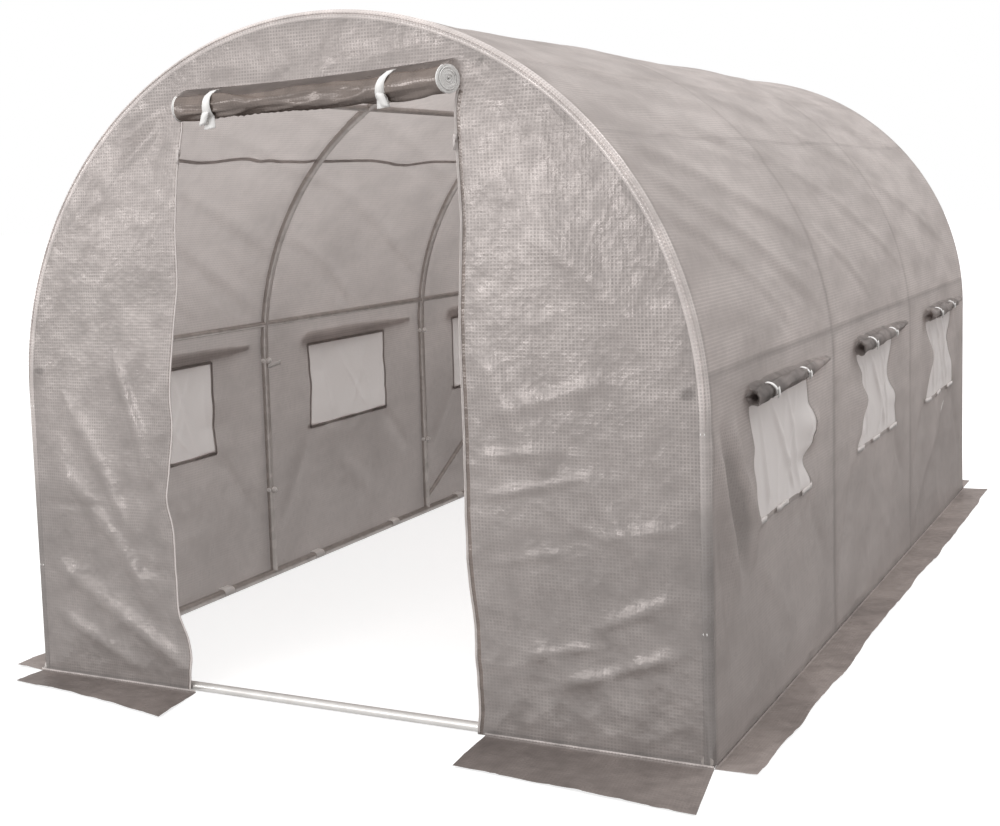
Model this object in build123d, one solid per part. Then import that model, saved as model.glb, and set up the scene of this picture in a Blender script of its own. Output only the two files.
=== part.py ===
from build123d import *
import math
import os

# Walk-in tunnel greenhouse: a round-topped frame of steel tube under a woven film cover, three bays long.
# The front faces -Y, the ground is Z = 0 and the origin is in the middle of the ground plan.

# Overall sizes in millimetres
span = 2000.0  # outside width over the cover
length = 3600.0  # outside length over both end panels
spring_height = 800.0  # where the straight sides turn into the half round
film = 3.0  # cover thickness, thicker than the woven film it stands for
slack = 1.5  # air between the widest tubes and the cover
bay_count = 3

# Tubes
hoop_tube = 25.0
base_tube = 28.0
sill_tube = 25.0
rail_tube = 20.0
saddle_depth = 6.0  # how far the foot of a leg straddles the base rail
coupler_wall = 1.5
coupler_length = 60.0

# Where things sit on the half round, in degrees up from the right springline
seam_angle = 42.0
joint_angle = 54.0
purlin_angle = 57.5
rail_angle = 6.1

# Braces in the last bay
brace_low = 60.0
brace_high = 665.0

# Doorway in the front
door_width = 840.0
door_head = 220.0  # from the crest down to the top of the doorway
door_roll_diameter = 70.0
door_roll_length = 780.0
door_roll_drop = 200.0  # from the crest down to the axis of the roll
door_tie_offset = 250.0
zip_width = 9.0
zip_depth = 4.0

# Windows in each side, one to a bay
window_width = 560.0
window_low = 500.0
window_high = 795.0
net_depth = 1.0
window_roll_diameter = 46.0
window_roll_rise = 16.0  # roll axis over the window's top edge
window_roll_front = 330.0  # roll from the window's middle to its front end
window_roll_back = 520.0
window_tie_offset = 175.0

# Ties, skirts and clips
roll_bite = 3.0  # how far a roll is flattened against the cover
tie_width = 24.0
tie_thickness = 1.5
front_skirt = 190.0
side_skirt = 120.0
clip_length = 55.0
clip_wall = 2.0

# Derived places
cover_radius = span / 2
cover_inside = cover_radius - film
axis_radius = cover_inside - slack - base_tube / 2
front_face = -length / 2
back_face = length / 2
end_inset = film + slack + base_tube / 2
bay = (length - 2 * end_inset) / bay_count
hoop_places = [front_face + end_inset + bay * i for i in range(bay_count + 1)]
bay_middles = [(hoop_places[i] + hoop_places[i + 1]) / 2 for i in range(bay_count)]
rail_height = base_tube / 2
crest = spring_height + cover_radius
door_height = crest - door_head
door_roll_height = crest - door_roll_drop
LEFT = -1
RIGHT = 1


def bar(start, end, diameter):
    """A round bar from one point to another."""
    direction = Vector(*end) - Vector(*start)
    return extrude(Plane(origin=start, z_dir=direction) * Circle(diameter / 2), direction.length)


def on_hoop(angle, y, radius):
    """A point on a hoop's half round."""
    turn = math.radians(angle)
    return (radius * math.cos(turn), y, spring_height + radius * math.sin(turn))


def bent_bar(y, outside, start, stop, inside=0.0):
    """A stretch of the half round, solid or with a round bore."""
    turn = math.radians(start)
    along = (-math.sin(turn), 0, math.cos(turn))
    section = Circle(outside / 2)
    if inside > 0:
        section = section - Circle(inside / 2)
    face = Plane(origin=on_hoop(start, y, axis_radius), z_dir=along) * section
    return revolve(face, Axis((0, y, spring_height), (0, -1, 0)), stop - start)


def mirror_angles(side, start, stop):
    """The same stretch of the half round on the right or the left side."""
    if side == RIGHT:
        return (start, stop)
    return (180 - stop, 180 - start)


def strip(outer, inner, start, stop):
    """Cross-section of a curved strip of cover between two angles on the half round."""
    ring = Pos(0, spring_height) * (Circle(outer) - Circle(inner))
    reach = 2 * outer
    low, middle, high = [math.radians(a) for a in (start, (start + stop) / 2, stop)]
    corners = [(0, spring_height)]
    corners += [(reach * math.cos(a), spring_height + reach * math.sin(a)) for a in (low, middle, high)]
    corners.append(corners[0])
    return ring & make_face(Polyline(*corners))


def along_tunnel(face, start, run):
    """Carries a cross-section along the tunnel."""
    return extrude(Pos(0, start, 0) * (Plane.XZ * face), run, dir=(0, 1, 0))


def end_shape(radius):
    """The tunnel's outline seen from the front."""
    wall = Pos(0, spring_height / 2) * Rectangle(2 * radius, spring_height)
    round_top = Pos(0, spring_height) * Circle(radius)
    below = Pos(0, -radius / 2) * Rectangle(2 * radius, radius)
    return wall + round_top - below


def block(low, high):
    """A box between two corners."""
    size = [b - a for a, b in zip(low, high)]
    middle = [(a + b) / 2 for a, b in zip(low, high)]
    return Pos(*middle) * Box(*size)


def solids_of(shape):
    """The separate solids of a shape."""
    if hasattr(shape, "solids"):
        return list(shape.solids())
    return list(shape)


pieces = {}

# Frame: base rails, legs, haunches and crowns
for side, name in ((LEFT, "left"), (RIGHT, "right")):
    x = side * axis_radius
    first = hoop_places[0] - base_tube / 2
    last = hoop_places[-1] + base_tube / 2
    base_rail = bar((x, first, rail_height), (x, last, rail_height), base_tube)
    pieces["base_rail_" + name] = [base_rail]

    legs = []
    for y in hoop_places:
        foot = base_tube - saddle_depth
        legs.append(bar((x, y, foot), (x, y, spring_height), hoop_tube) - base_rail)
    pieces["hoop_legs_" + name] = legs

    start, stop = mirror_angles(side, 0, joint_angle)
    pieces["hoop_haunches_" + name] = [bent_bar(y, hoop_tube, start, stop) for y in hoop_places]

pieces["hoop_crowns"] = [bent_bar(y, hoop_tube, joint_angle, 180 - joint_angle) for y in hoop_places]

# Sleeves over the tube joints: one above each springline, one over each joint of the crown
sleeve_angle = math.degrees(coupler_length / axis_radius)
sleeve = hoop_tube + 2 * coupler_wall
for side, name in ((LEFT, "left"), (RIGHT, "right")):
    sleeves = []
    for y in hoop_places:
        start, stop = mirror_angles(side, 0, sleeve_angle)
        sleeves.append(bent_bar(y, sleeve, start, stop, hoop_tube))
        start, stop = mirror_angles(side, joint_angle - sleeve_angle / 2, joint_angle + sleeve_angle / 2)
        sleeves.append(bent_bar(y, sleeve, start, stop, hoop_tube))
    pieces["hoop_couplers_" + name] = sleeves

# Sill tubes across the two ends, cut to fit the rails and the legs
for name, y in (("front_sill", hoop_places[0]), ("back_sill", hoop_places[-1])):
    sill = bar((-axis_radius, y, rail_height), (axis_radius, y, rail_height), sill_tube)
    for side in ("left", "right"):
        sill = sill - pieces["base_rail_" + side][0]
        for leg in pieces["hoop_legs_" + side]:
            sill = sill - leg
    pieces[name] = [max(solids_of(sill), key=lambda s: s.volume)]

# Rails and purlins between the hoops, their ends cut to the hoops
for side, name in ((LEFT, "left"), (RIGHT, "right")):
    for node, angle, hoops in (
        ("side_rails_", rail_angle, pieces["hoop_haunches_" + name]),
        ("upper_purlins_", purlin_angle, pieces["hoop_crowns"]),
    ):
        place = angle if side == RIGHT else 180 - angle
        lengths = []
        for i in range(bay_count):
            run = bar(
                on_hoop(place, hoop_places[i], axis_radius),
                on_hoop(place, hoop_places[i + 1], axis_radius),
                rail_tube,
            )
            run = run - hoops[i] - hoops[i + 1]
            lengths.append(max(solids_of(run), key=lambda s: s.volume))
        pieces[node + name] = lengths

    x = side * axis_radius
    brace = bar((x, hoop_places[-2], brace_low), (x, hoop_places[-1], brace_high), rail_tube)
    legs = pieces["hoop_legs_" + name]
    brace = brace - legs[-2] - legs[-1]
    pieces["back_brace_" + name] = [max(solids_of(brace), key=lambda s: s.volume)]

# Cover: flat side walls with window openings, haunches up to the seams, and the roof between the seams
cover_start = front_face + film
cover_run = length - 2 * film
envelope = along_tunnel(end_shape(cover_radius), front_face, length)
for side, name in ((LEFT, "left"), (RIGHT, "right")):
    inner_x = side * cover_inside
    outer_x = side * cover_radius
    wall = block(
        (min(inner_x, outer_x), cover_start, 0),
        (max(inner_x, outer_x), cover_start + cover_run, spring_height),
    )
    net_out = side * (cover_radius - (film - net_depth) / 2)
    net_in = net_out - side * net_depth
    nets = []
    rolls = []
    ties = []
    for y in bay_middles:
        front_edge = y - window_width / 2
        back_edge = y + window_width / 2
        wall = wall - block(
            (min(inner_x, outer_x), front_edge, window_low),
            (max(inner_x, outer_x), back_edge, window_high),
        )
        nets.append(
            block(
                (min(net_in, net_out), front_edge, window_low),
                (max(net_in, net_out), back_edge, window_high),
            )
        )
        reach = window_roll_diameter / 2
        axis_x = side * (cover_radius + reach - roll_bite)
        axis_z = window_high + window_roll_rise
        roll = bar((axis_x, y - window_roll_front, axis_z), (axis_x, y + window_roll_back, axis_z), 2 * reach)
        rolls.append(roll - envelope)
        for place in (y - window_tie_offset, y + window_tie_offset):
            band = bar(
                (axis_x, place - tie_width / 2, axis_z),
                (axis_x, place + tie_width / 2, axis_z),
                2 * (reach + tie_thickness),
            )
            ties.append(band - roll - envelope)
    start, stop = mirror_angles(side, 0, seam_angle)
    haunch = along_tunnel(strip(cover_radius, cover_inside, start, stop), cover_start, cover_run)
    pieces["side_wall_" + name] = [wall]
    pieces["cover_haunch_" + name] = [haunch]
    pieces["window_nets_" + name] = nets
    pieces["window_rolls_" + name] = rolls
    pieces["window_ties_" + name] = ties

roof = strip(cover_radius, cover_inside, seam_angle, 180 - seam_angle)
pieces["cover_roof"] = [along_tunnel(roof, cover_start, cover_run)]

# End panels: the front split beside and over the doorway, the back in one piece
front = along_tunnel(end_shape(cover_radius), front_face, film)
half_door = door_width / 2
inside_face = front_face + film
pieces["front_panel_left"] = [front & block((-span, front_face, 0), (-half_door, inside_face, crest))]
pieces["front_panel_right"] = [front & block((half_door, front_face, 0), (span, inside_face, crest))]
pieces["front_panel_top"] = [front & block((-half_door, front_face, door_height), (half_door, inside_face, crest))]
pieces["back_panel"] = [along_tunnel(end_shape(cover_radius), back_face - film, film)]

# Rolled door over the doorway, its two ties and the zips down the doorway's edges
door_reach = door_roll_diameter / 2
roll_y = front_face - door_reach + roll_bite
half_roll = door_roll_length / 2
door_roll = bar((-half_roll, roll_y, door_roll_height), (half_roll, roll_y, door_roll_height), door_roll_diameter)
pieces["door_roll"] = [door_roll - envelope]
door_ties = []
for x in (-door_tie_offset, door_tie_offset):
    band = bar(
        (x - tie_width / 2, roll_y, door_roll_height),
        (x + tie_width / 2, roll_y, door_roll_height),
        door_roll_diameter + 2 * tie_thickness,
    )
    door_ties.append(band - door_roll - envelope)
pieces["door_ties"] = door_ties
for side, name in ((LEFT, "left"), (RIGHT, "right")):
    inner = side * half_door
    outer = side * (half_door + zip_width)
    pieces["door_zip_" + name] = [
        block(
            (min(inner, outer), front_face - zip_depth, film),
            (max(inner, outer), front_face, door_height),
        )
    ]

# Skirts lying on the ground round the foot of the cover
edge = span / 2
pieces["skirt_front_left"] = [block((-edge, front_face - front_skirt, 0), (-half_door, front_face, film))]
pieces["skirt_front_right"] = [block((half_door, front_face - front_skirt, 0), (edge, front_face, film))]
pieces["skirt_back"] = [block((-edge, back_face, 0), (edge, back_face + front_skirt, film))]
pieces["skirt_left"] = [block((-edge - side_skirt, front_face, 0), (-edge, back_face, film))]
pieces["skirt_right"] = [block((edge, front_face, 0), (edge + side_skirt, back_face, film))]

# Clips that hold the cover down on the base rails, two to a bay
for side, name in ((LEFT, "left"), (RIGHT, "right")):
    clips = []
    x = side * axis_radius
    for middle in bay_middles:
        for y in (middle - bay / 4, middle + bay / 4):
            start = (x, y - clip_length / 2, rail_height)
            end = (x, y + clip_length / 2, rail_height)
            shell = bar(start, end, base_tube + 2 * clip_wall) - bar(start, end, base_tube)
            inner_x = x - side * base_tube
            keep = block(
                (min(x, inner_x), y - clip_length, rail_height - base_tube / 4),
                (max(x, inner_x), y + clip_length, rail_height + base_tube),
            )
            wall_x = side * cover_inside
            lug = block(
                (min(x, wall_x), y - clip_length / 2, base_tube),
                (max(x, wall_x), y + clip_length / 2, base_tube + clip_wall),
            )
            clips.append((shell & keep) + lug)
    pieces["base_clips_" + name] = clips

os.makedirs("parts", exist_ok=True)
for node, shapes in pieces.items():
    found = []
    for shape in shapes:
        found.extend(solids_of(shape))
    body = found[0] if len(found) == 1 else Compound(children=found)
    export_step(body, os.path.join("parts", node + ".step"))
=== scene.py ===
"""Walk-in tunnel greenhouse: woven film over steel hoops, dressed on its CAD frame."""

import math

import bpy
import numpy as np
from bpy.props import FloatProperty, FloatVectorProperty, IntProperty, PointerProperty
from mathutils import Matrix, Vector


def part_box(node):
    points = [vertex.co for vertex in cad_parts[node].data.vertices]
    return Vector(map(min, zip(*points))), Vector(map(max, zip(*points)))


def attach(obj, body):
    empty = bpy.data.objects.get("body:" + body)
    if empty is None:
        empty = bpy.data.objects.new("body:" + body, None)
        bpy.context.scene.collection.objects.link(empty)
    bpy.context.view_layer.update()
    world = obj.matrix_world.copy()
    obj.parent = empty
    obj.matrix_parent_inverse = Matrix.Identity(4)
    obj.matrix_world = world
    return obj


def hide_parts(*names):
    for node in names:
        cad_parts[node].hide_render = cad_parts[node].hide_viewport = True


bl_info = {
    "name": "Tunnel greenhouse",
    "version": (1, 0, 0),
    "blender": (4, 5, 0),
    "location": "3D View > Sidebar > Tunnel",
    "description": "Dresses the hoop frame of a walk-in tunnel greenhouse in woven film",
    "category": "Object",
}

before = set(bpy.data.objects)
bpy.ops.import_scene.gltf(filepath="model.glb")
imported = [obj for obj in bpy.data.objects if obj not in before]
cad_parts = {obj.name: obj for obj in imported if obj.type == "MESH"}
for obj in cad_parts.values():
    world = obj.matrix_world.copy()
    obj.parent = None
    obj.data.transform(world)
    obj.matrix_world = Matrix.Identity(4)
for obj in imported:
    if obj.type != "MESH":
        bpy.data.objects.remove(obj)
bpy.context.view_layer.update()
MM = 0.001
SIDES = ((-1, "left"), (1, "right"))
ENDS = (-1, 1)

# Places read from the CAD frame, in metres
LEG_LOW, LEG_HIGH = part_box("hoop_legs_right")
DOOR_LOW, DOOR_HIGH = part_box("front_panel_top")
NET_LOW, NET_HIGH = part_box("window_nets_right")
ROLL_LOW, ROLL_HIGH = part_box("door_roll")
FLAP_LOW, FLAP_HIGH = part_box("window_rolls_right")
HALF_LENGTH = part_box("back_panel")[1][1]
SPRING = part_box("side_wall_right")[1][2]
HOOP_AXIS = (LEG_LOW[0] + LEG_HIGH[0]) / 2
HOOP_TUBE = LEG_HIGH[0] - LEG_LOW[0]
END_HOOP = LEG_HIGH[1] - HOOP_TUBE / 2
BAY = 2 * END_HOOP / 3
HOOPS = tuple(-END_HOOP + BAY * k for k in range(4))
BAYS = tuple(-BAY + BAY * k for k in range(3))
HALF_DOOR = DOOR_HIGH[0]
DOOR_TOP = DOOR_LOW[2]
WINDOW_LOW = NET_LOW[2]
WINDOW_HIGH = NET_HIGH[2]
HALF_WINDOW = NET_HIGH[1] - BAYS[2]

# How the film lies on the hoops
COVER_REACH = HOOP_AXIS + HOOP_TUBE / 2 + 3.5 * MM
BEAD = COVER_REACH - HOOP_AXIS
WRAP_TURN = math.radians(118)
SEAM_TURN = math.radians(90 - 42)
PURLIN_TURN = math.radians(90 - 57.5)
RAIL_TURN = math.radians(90 - 6.1)
AROUND = 2 * SPRING + math.pi * COVER_REACH
WALL_REACH = HOOP_AXIS - 5 * MM
WALL_FACE = -HALF_LENGTH + 4.5 * MM
# Lowest point of the standing film
FOOT = 0.5 * MM
# How far an end wall's film may draw in and stand out
WALL_SLACK = (-4 * MM, 16 * MM)


def length(name, description, default):
    return FloatProperty(name=name, description=description, default=default, unit="LENGTH")


def colour(name, description, default):
    return FloatVectorProperty(name=name, description=description, default=default,
                               subtype="COLOR_GAMMA", size=3, min=0, max=1)


class TunnelSizes(bpy.types.PropertyGroup):
    """Sizes of the film, its weave and its trimmings"""

    weave: length("Weave", "Spacing of the strengthening threads in the film", 8.5 * MM)
    sag: length("Sag", "How far the film draws in between two hoops", 9 * MM)
    mesh_step: length("Mesh step", "Distance between points of the cover", 14.5 * MM)
    wall_step: length("Wall step", "Distance between points of the end walls", 6.5 * MM)
    tape_width: length("Tape width", "Width of the white ties", 24 * MM)
    door_turns: FloatProperty(
        name="Door turns", description="Turns of film in the rolled door", default=12.4,
    )
    seed: IntProperty(name="Seed", description="Seed of the folds", default=7)


class TunnelColours(bpy.types.PropertyGroup):
    """Colours that show in daylight, as sRGB"""

    film: colour("Film", "Face of the woven film", (0.765, 0.739, 0.729))
    tube: colour("Tube", "Zinc on the steel tubes", (0.77, 0.745, 0.73))
    tape: colour("Tape", "White ties and zips", (0.94, 0.908, 0.895))


def sizes():
    return bpy.context.scene.tunnel_sizes


def linear(shown):
    """An sRGB hex value, or three sRGB shares, as a linear colour with alpha."""
    if isinstance(shown, str):
        shown = [int(shown[i:i + 2], 16) / 255 for i in (1, 3, 5)]
    shares = [c / 12.92 if c <= 0.04045 else ((c + 0.055) / 1.055) ** 2.4 for c in shown]
    return (*shares, 1.0)


# Numbers for folds and creases

# Values in a table of random ones along each side, and a shift that keeps cell numbers positive
TABLE, FAR_CELLS = 128, 1000


def cells(u, v, cell):
    """Places on a surface counted in cells, and the number of the cell that each is in."""
    x = np.asarray(u) / cell + FAR_CELLS
    y = np.asarray(v) / cell + FAR_CELLS
    return x, y, np.floor(x).astype(int), np.floor(y).astype(int)


def rolling(u, v, cell, seed):
    """Smooth seeded unevenness from -1 to 1 over a surface, with bumps about one cell across."""
    table = np.random.default_rng(seed).uniform(-1, 1, (TABLE, TABLE))
    x, y, i, j = cells(u, v, cell)
    a, b = (t * t * t * (t * (t * 6 - 15) + 10) for t in (x - i, y - j))
    i0, i1, j0, j1 = i % TABLE, (i + 1) % TABLE, j % TABLE, (j + 1) % TABLE
    low = table[i0, j0] * (1 - a) + table[i1, j0] * a
    high = table[i0, j1] * (1 - a) + table[i1, j1] * a
    return low * (1 - b) + high * b


def creased(u, v, cell, seed):
    """Sharp-topped creases from 0 to 1, as stiff film folds."""
    bend = cell * 0.6
    x = u + bend * rolling(u, v, cell * 1.7, seed + 11)
    y = v + bend * rolling(u, v, cell * 1.7, seed + 12)
    return (1 - np.abs(rolling(x, y, cell, seed))) ** 3


def faceted(u, v, cell, seed):
    """Flat-sided hollows with sharp creases between them, from 0 to 1, as crumpled film has."""
    table = np.random.default_rng(seed).uniform(0, 1, (2, TABLE, TABLE))
    x, y, i, j = cells(u, v, cell)
    nearest = np.ones(np.broadcast(x, y).shape)
    for a in (i - 1, i, i + 1):
        for b in (j - 1, j, j + 1):
            shift = table[:, a % TABLE, b % TABLE]
            nearest = np.minimum(nearest, np.hypot(a + shift[0] - x, b + shift[1] - y))
    return nearest


def eased(share):
    """A share held between 0 and 1, with a soft start and end."""
    share = np.clip(share, 0, 1)
    return share * share * (3 - 2 * share)


def fold(u, v, start, end, width, height, bow=0.0):
    """A soft ridge from start to end on the sheet, fading at both ends; bow bends its line."""
    run = np.subtract(end, start)
    reach = math.hypot(*run)
    along = ((u - start[0]) * run[0] + (v - start[1]) * run[1]) / reach ** 2
    across = ((v - start[1]) * run[0] - (u - start[0]) * run[1]) / reach
    across = across - bow * np.sin(np.pi * np.clip(along, 0, 1))
    ends = eased(np.minimum(along + 0.12, 1.12 - along) / 0.3)
    return height * ends / np.cosh(across / width) ** 2


def near(values, place, reach):
    return np.exp(-(((values - place) / reach) ** 2))


def stepped(keys, step):
    """Values from the first key to the last, about one step apart, that pass through every key."""
    out = [keys[0]]
    for a, b in zip(keys, keys[1:]):
        count = max(1, round((b - a) / step))
        out += [a + (b - a) * (k + 1) / count for k in range(count)]
    return np.array(out)


def middles(values):
    return (values[1:] + values[:-1]) / 2


def placed(*parts):
    """Points from their coordinates; a single number serves them all."""
    return np.stack(np.broadcast_arrays(*parts), -1)


def run_length(line):
    """Length along a line of points at each of them."""
    return np.concatenate([[0], np.cumsum(np.linalg.norm(np.diff(line, axis=0), axis=1))])


# Meshes: a shape is its points, their places on the flat sheet and its faces

def make_piece(name, shape, finishes, kinds=None):
    """A mesh piece on the fixed body, with its flat layout in metres as UVs."""
    points, flat, faces = shape
    mesh = bpy.data.meshes.new(name)
    mesh.from_pydata(points.reshape(-1, 3).tolist(), [], faces.tolist())
    corner = np.empty(len(mesh.loops), int)
    mesh.loops.foreach_get("vertex_index", corner)
    layout = mesh.uv_layers.new(name="flat")
    layout.data.foreach_set("uv", flat.reshape(-1, 2)[corner].ravel())
    mesh.polygons.foreach_set("use_smooth", np.full(len(mesh.polygons), True))
    for f in finishes:
        mesh.materials.append(finish(f))
    if kinds is not None:
        mesh.polygons.foreach_set("material_index", np.asarray(kinds, int).ravel())
    mesh.validate()
    piece = bpy.data.objects.new(name, mesh)
    bpy.context.scene.collection.objects.link(piece)
    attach(piece, "root")
    return piece


def grid_faces(rows, columns, keep=None):
    """Quads of a grid of points, numbered row by row."""
    i, j = np.meshgrid(np.arange(rows - 1), np.arange(columns - 1), indexing="ij")
    a = i * columns + j
    quads = np.stack([a, a + columns, a + columns + 1, a + 1], -1)
    return quads[keep] if keep is not None else quads.reshape(-1, 4)


def compact(points, flat, faces):
    """A shape of only the points that the faces use, renumbered."""
    used, again = np.unique(faces, return_inverse=True)
    return points.reshape(-1, 3)[used], flat.reshape(-1, 2)[used], again.reshape(faces.shape)


def joined(shapes):
    """Several shapes as one."""
    bases = np.cumsum([0] + [len(p) for p, _, _ in shapes])
    points, flats, faces = zip(*shapes)
    faces = [q + base for q, base in zip(faces, bases)]
    return np.vstack(points), np.vstack(flats), np.vstack(faces)


def tube_along(line, radius, sides):
    """A round tube with closed ends along a line of points."""
    line = np.asarray(line, float)
    run = np.gradient(line, axis=0)
    run /= np.linalg.norm(run, axis=1)[:, None]
    aside = np.cross(run, (0.0, 1.0, 0.0))
    weak = np.linalg.norm(aside, axis=1) < 0.2
    aside[weak] = np.cross(run[weak], (1.0, 0.0, 0.0))
    aside /= np.linalg.norm(aside, axis=1)[:, None]
    up = np.cross(aside, run)
    turn = np.linspace(0, 2 * math.pi, sides, endpoint=False)
    ring = np.cos(turn)[None, :, None] * aside[:, None] + np.sin(turn)[None, :, None] * up[:, None]
    radius = np.broadcast_to(np.asarray(radius, float), len(line))
    points = (line[:, None] + ring * radius[:, None, None]).reshape(-1, 3)
    flat = placed(run_length(line)[:, None], radius[:, None] * turn[None]).reshape(-1, 2)
    last = (len(line) - 1) * sides
    faces = [(a + k, a + (k + 1) % sides, a + sides + (k + 1) % sides, a + sides + k)
             for a in range(0, last, sides) for k in range(sides)]
    # Each end is closed by quads round one more point in its middle
    points = np.vstack([points, line[:1], line[-1:]])
    flat = np.vstack([flat, flat[:1], flat[-1:]])
    for k in range(0, sides, 2):
        b, c = (k + 1) % sides, (k + 2) % sides
        faces.append((last + sides, c, b, k))
        faces.append((last + sides + 1, last + k, last + b, last + c))
    return points, flat, np.array(faces)


def ribbon(line, across, width, thick):
    """A flat tape along a line, as a thin closed solid. The width may vary along it."""
    line = np.asarray(line, float)
    n = len(line)
    across = np.broadcast_to(np.asarray(across, float), line.shape)
    width = np.broadcast_to(np.asarray(width, float), n)
    face = np.cross(np.gradient(line, axis=0), across)
    face /= np.linalg.norm(face, axis=1)[:, None]
    half = across * width[:, None] / 2
    rise = face * thick / 2
    rim = [line - half - rise, line + half - rise, line + half + rise, line - half + rise]
    points = np.stack(rim, 1).reshape(-1, 3)
    sides = np.stack([0 * width, width, width, 0 * width], 1)
    flat = placed(run_length(line)[:, None], sides).reshape(-1, 2)
    faces = [(a + k, a + (k + 1) % 4, a + 4 + (k + 1) % 4, a + 4 + k)
             for a in range(0, 4 * (n - 1), 4) for k in range(4)]
    faces += [(3, 2, 1, 0), tuple(4 * (n - 1) + k for k in range(4))]
    return points, flat, np.array(faces)


# Materials

def add(tree, kind, links=(), **settings):
    """A node of one kind with its settings, and links as (input, output socket or value)."""
    node = tree.nodes.new("ShaderNode" + kind)
    for key, value in settings.items():
        setattr(node, key, value)
    for where, what in links:
        if isinstance(what, bpy.types.NodeSocket):
            tree.links.new(what, node.inputs[where])
        else:
            node.inputs[where].default_value = what
    return node


def calc(tree, operation, *values, **settings):
    return add(tree, "Math", enumerate(values), operation=operation, **settings).outputs[0]


def spread(tree, value, low, high, first, last, soft=False):
    """A value between low and high, spread over first to last."""
    kind = "SMOOTHSTEP" if soft else "LINEAR"
    links = enumerate((value, low, high, first, last))
    return add(tree, "MapRange", links, interpolation_type=kind).outputs[0]


def noise(tree, place, cell, detail, kind="Fac"):
    """Uneven clouds about one cell across."""
    links = [("Vector", place), ("Scale", 1 / cell), ("Detail", detail)]
    return add(tree, "TexNoise", links).outputs[kind]


def crystals(tree, place, cell, kind):
    return add(tree, "TexVoronoi", [("Vector", place), ("Scale", 1 / cell)]).outputs[kind]


def mixed(tree, share, first, second, **settings):
    """A colour between two others."""
    links = [(0, share), (6, first), (7, second)]
    return add(tree, "Mix", links, data_type="RGBA", **settings).outputs[2]


def blended(tree, share, first, second):
    """A shader between two others."""
    return add(tree, "MixShader", [(0, share), (1, first), (2, second)]).outputs[0]


def shader(tree, kind, **inputs):
    """A shader whose inputs are named with underscores for spaces."""
    links = [(key.replace("_", " "), value) for key, value in inputs.items()]
    return add(tree, kind, links).outputs[0]


def bump(tree, strength, distance, height, *normal):
    links = [("Strength", strength), ("Distance", distance), ("Height", height)]
    return add(tree, "Bump", links + [("Normal", n) for n in normal]).outputs[0]


def object_place(tree):
    return add(tree, "TexCoord").outputs["Object"]


def flat_place(tree):
    """Place on the flat sheet, and its parts along the sheet's two sides."""
    flat = add(tree, "UVMap", uv_map="flat").outputs["UV"]
    parts = add(tree, "SeparateXYZ", [(0, flat)]).outputs
    return flat, parts["X"], parts["Y"]


def thread_grid(tree, x, y, pitch, core, edge, soft):
    """A square grid of threads: 1 along their cores and 0 past their edges, in shares of pitch."""
    rows = [spread(tree, calc(tree, "PINGPONG", along, pitch / 2), pitch * core, pitch * edge,
                   1.0, 0.0, soft) for along in (x, y)]
    return calc(tree, "MAXIMUM", *rows)


def new_material(name):
    material = bpy.data.materials.new(name)
    material.use_nodes = True
    material.node_tree.nodes.clear()
    return material, material.node_tree


def surfaced(material, surface):
    add(material.node_tree, "OutputMaterial", [("Surface", surface)])
    return material


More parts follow.
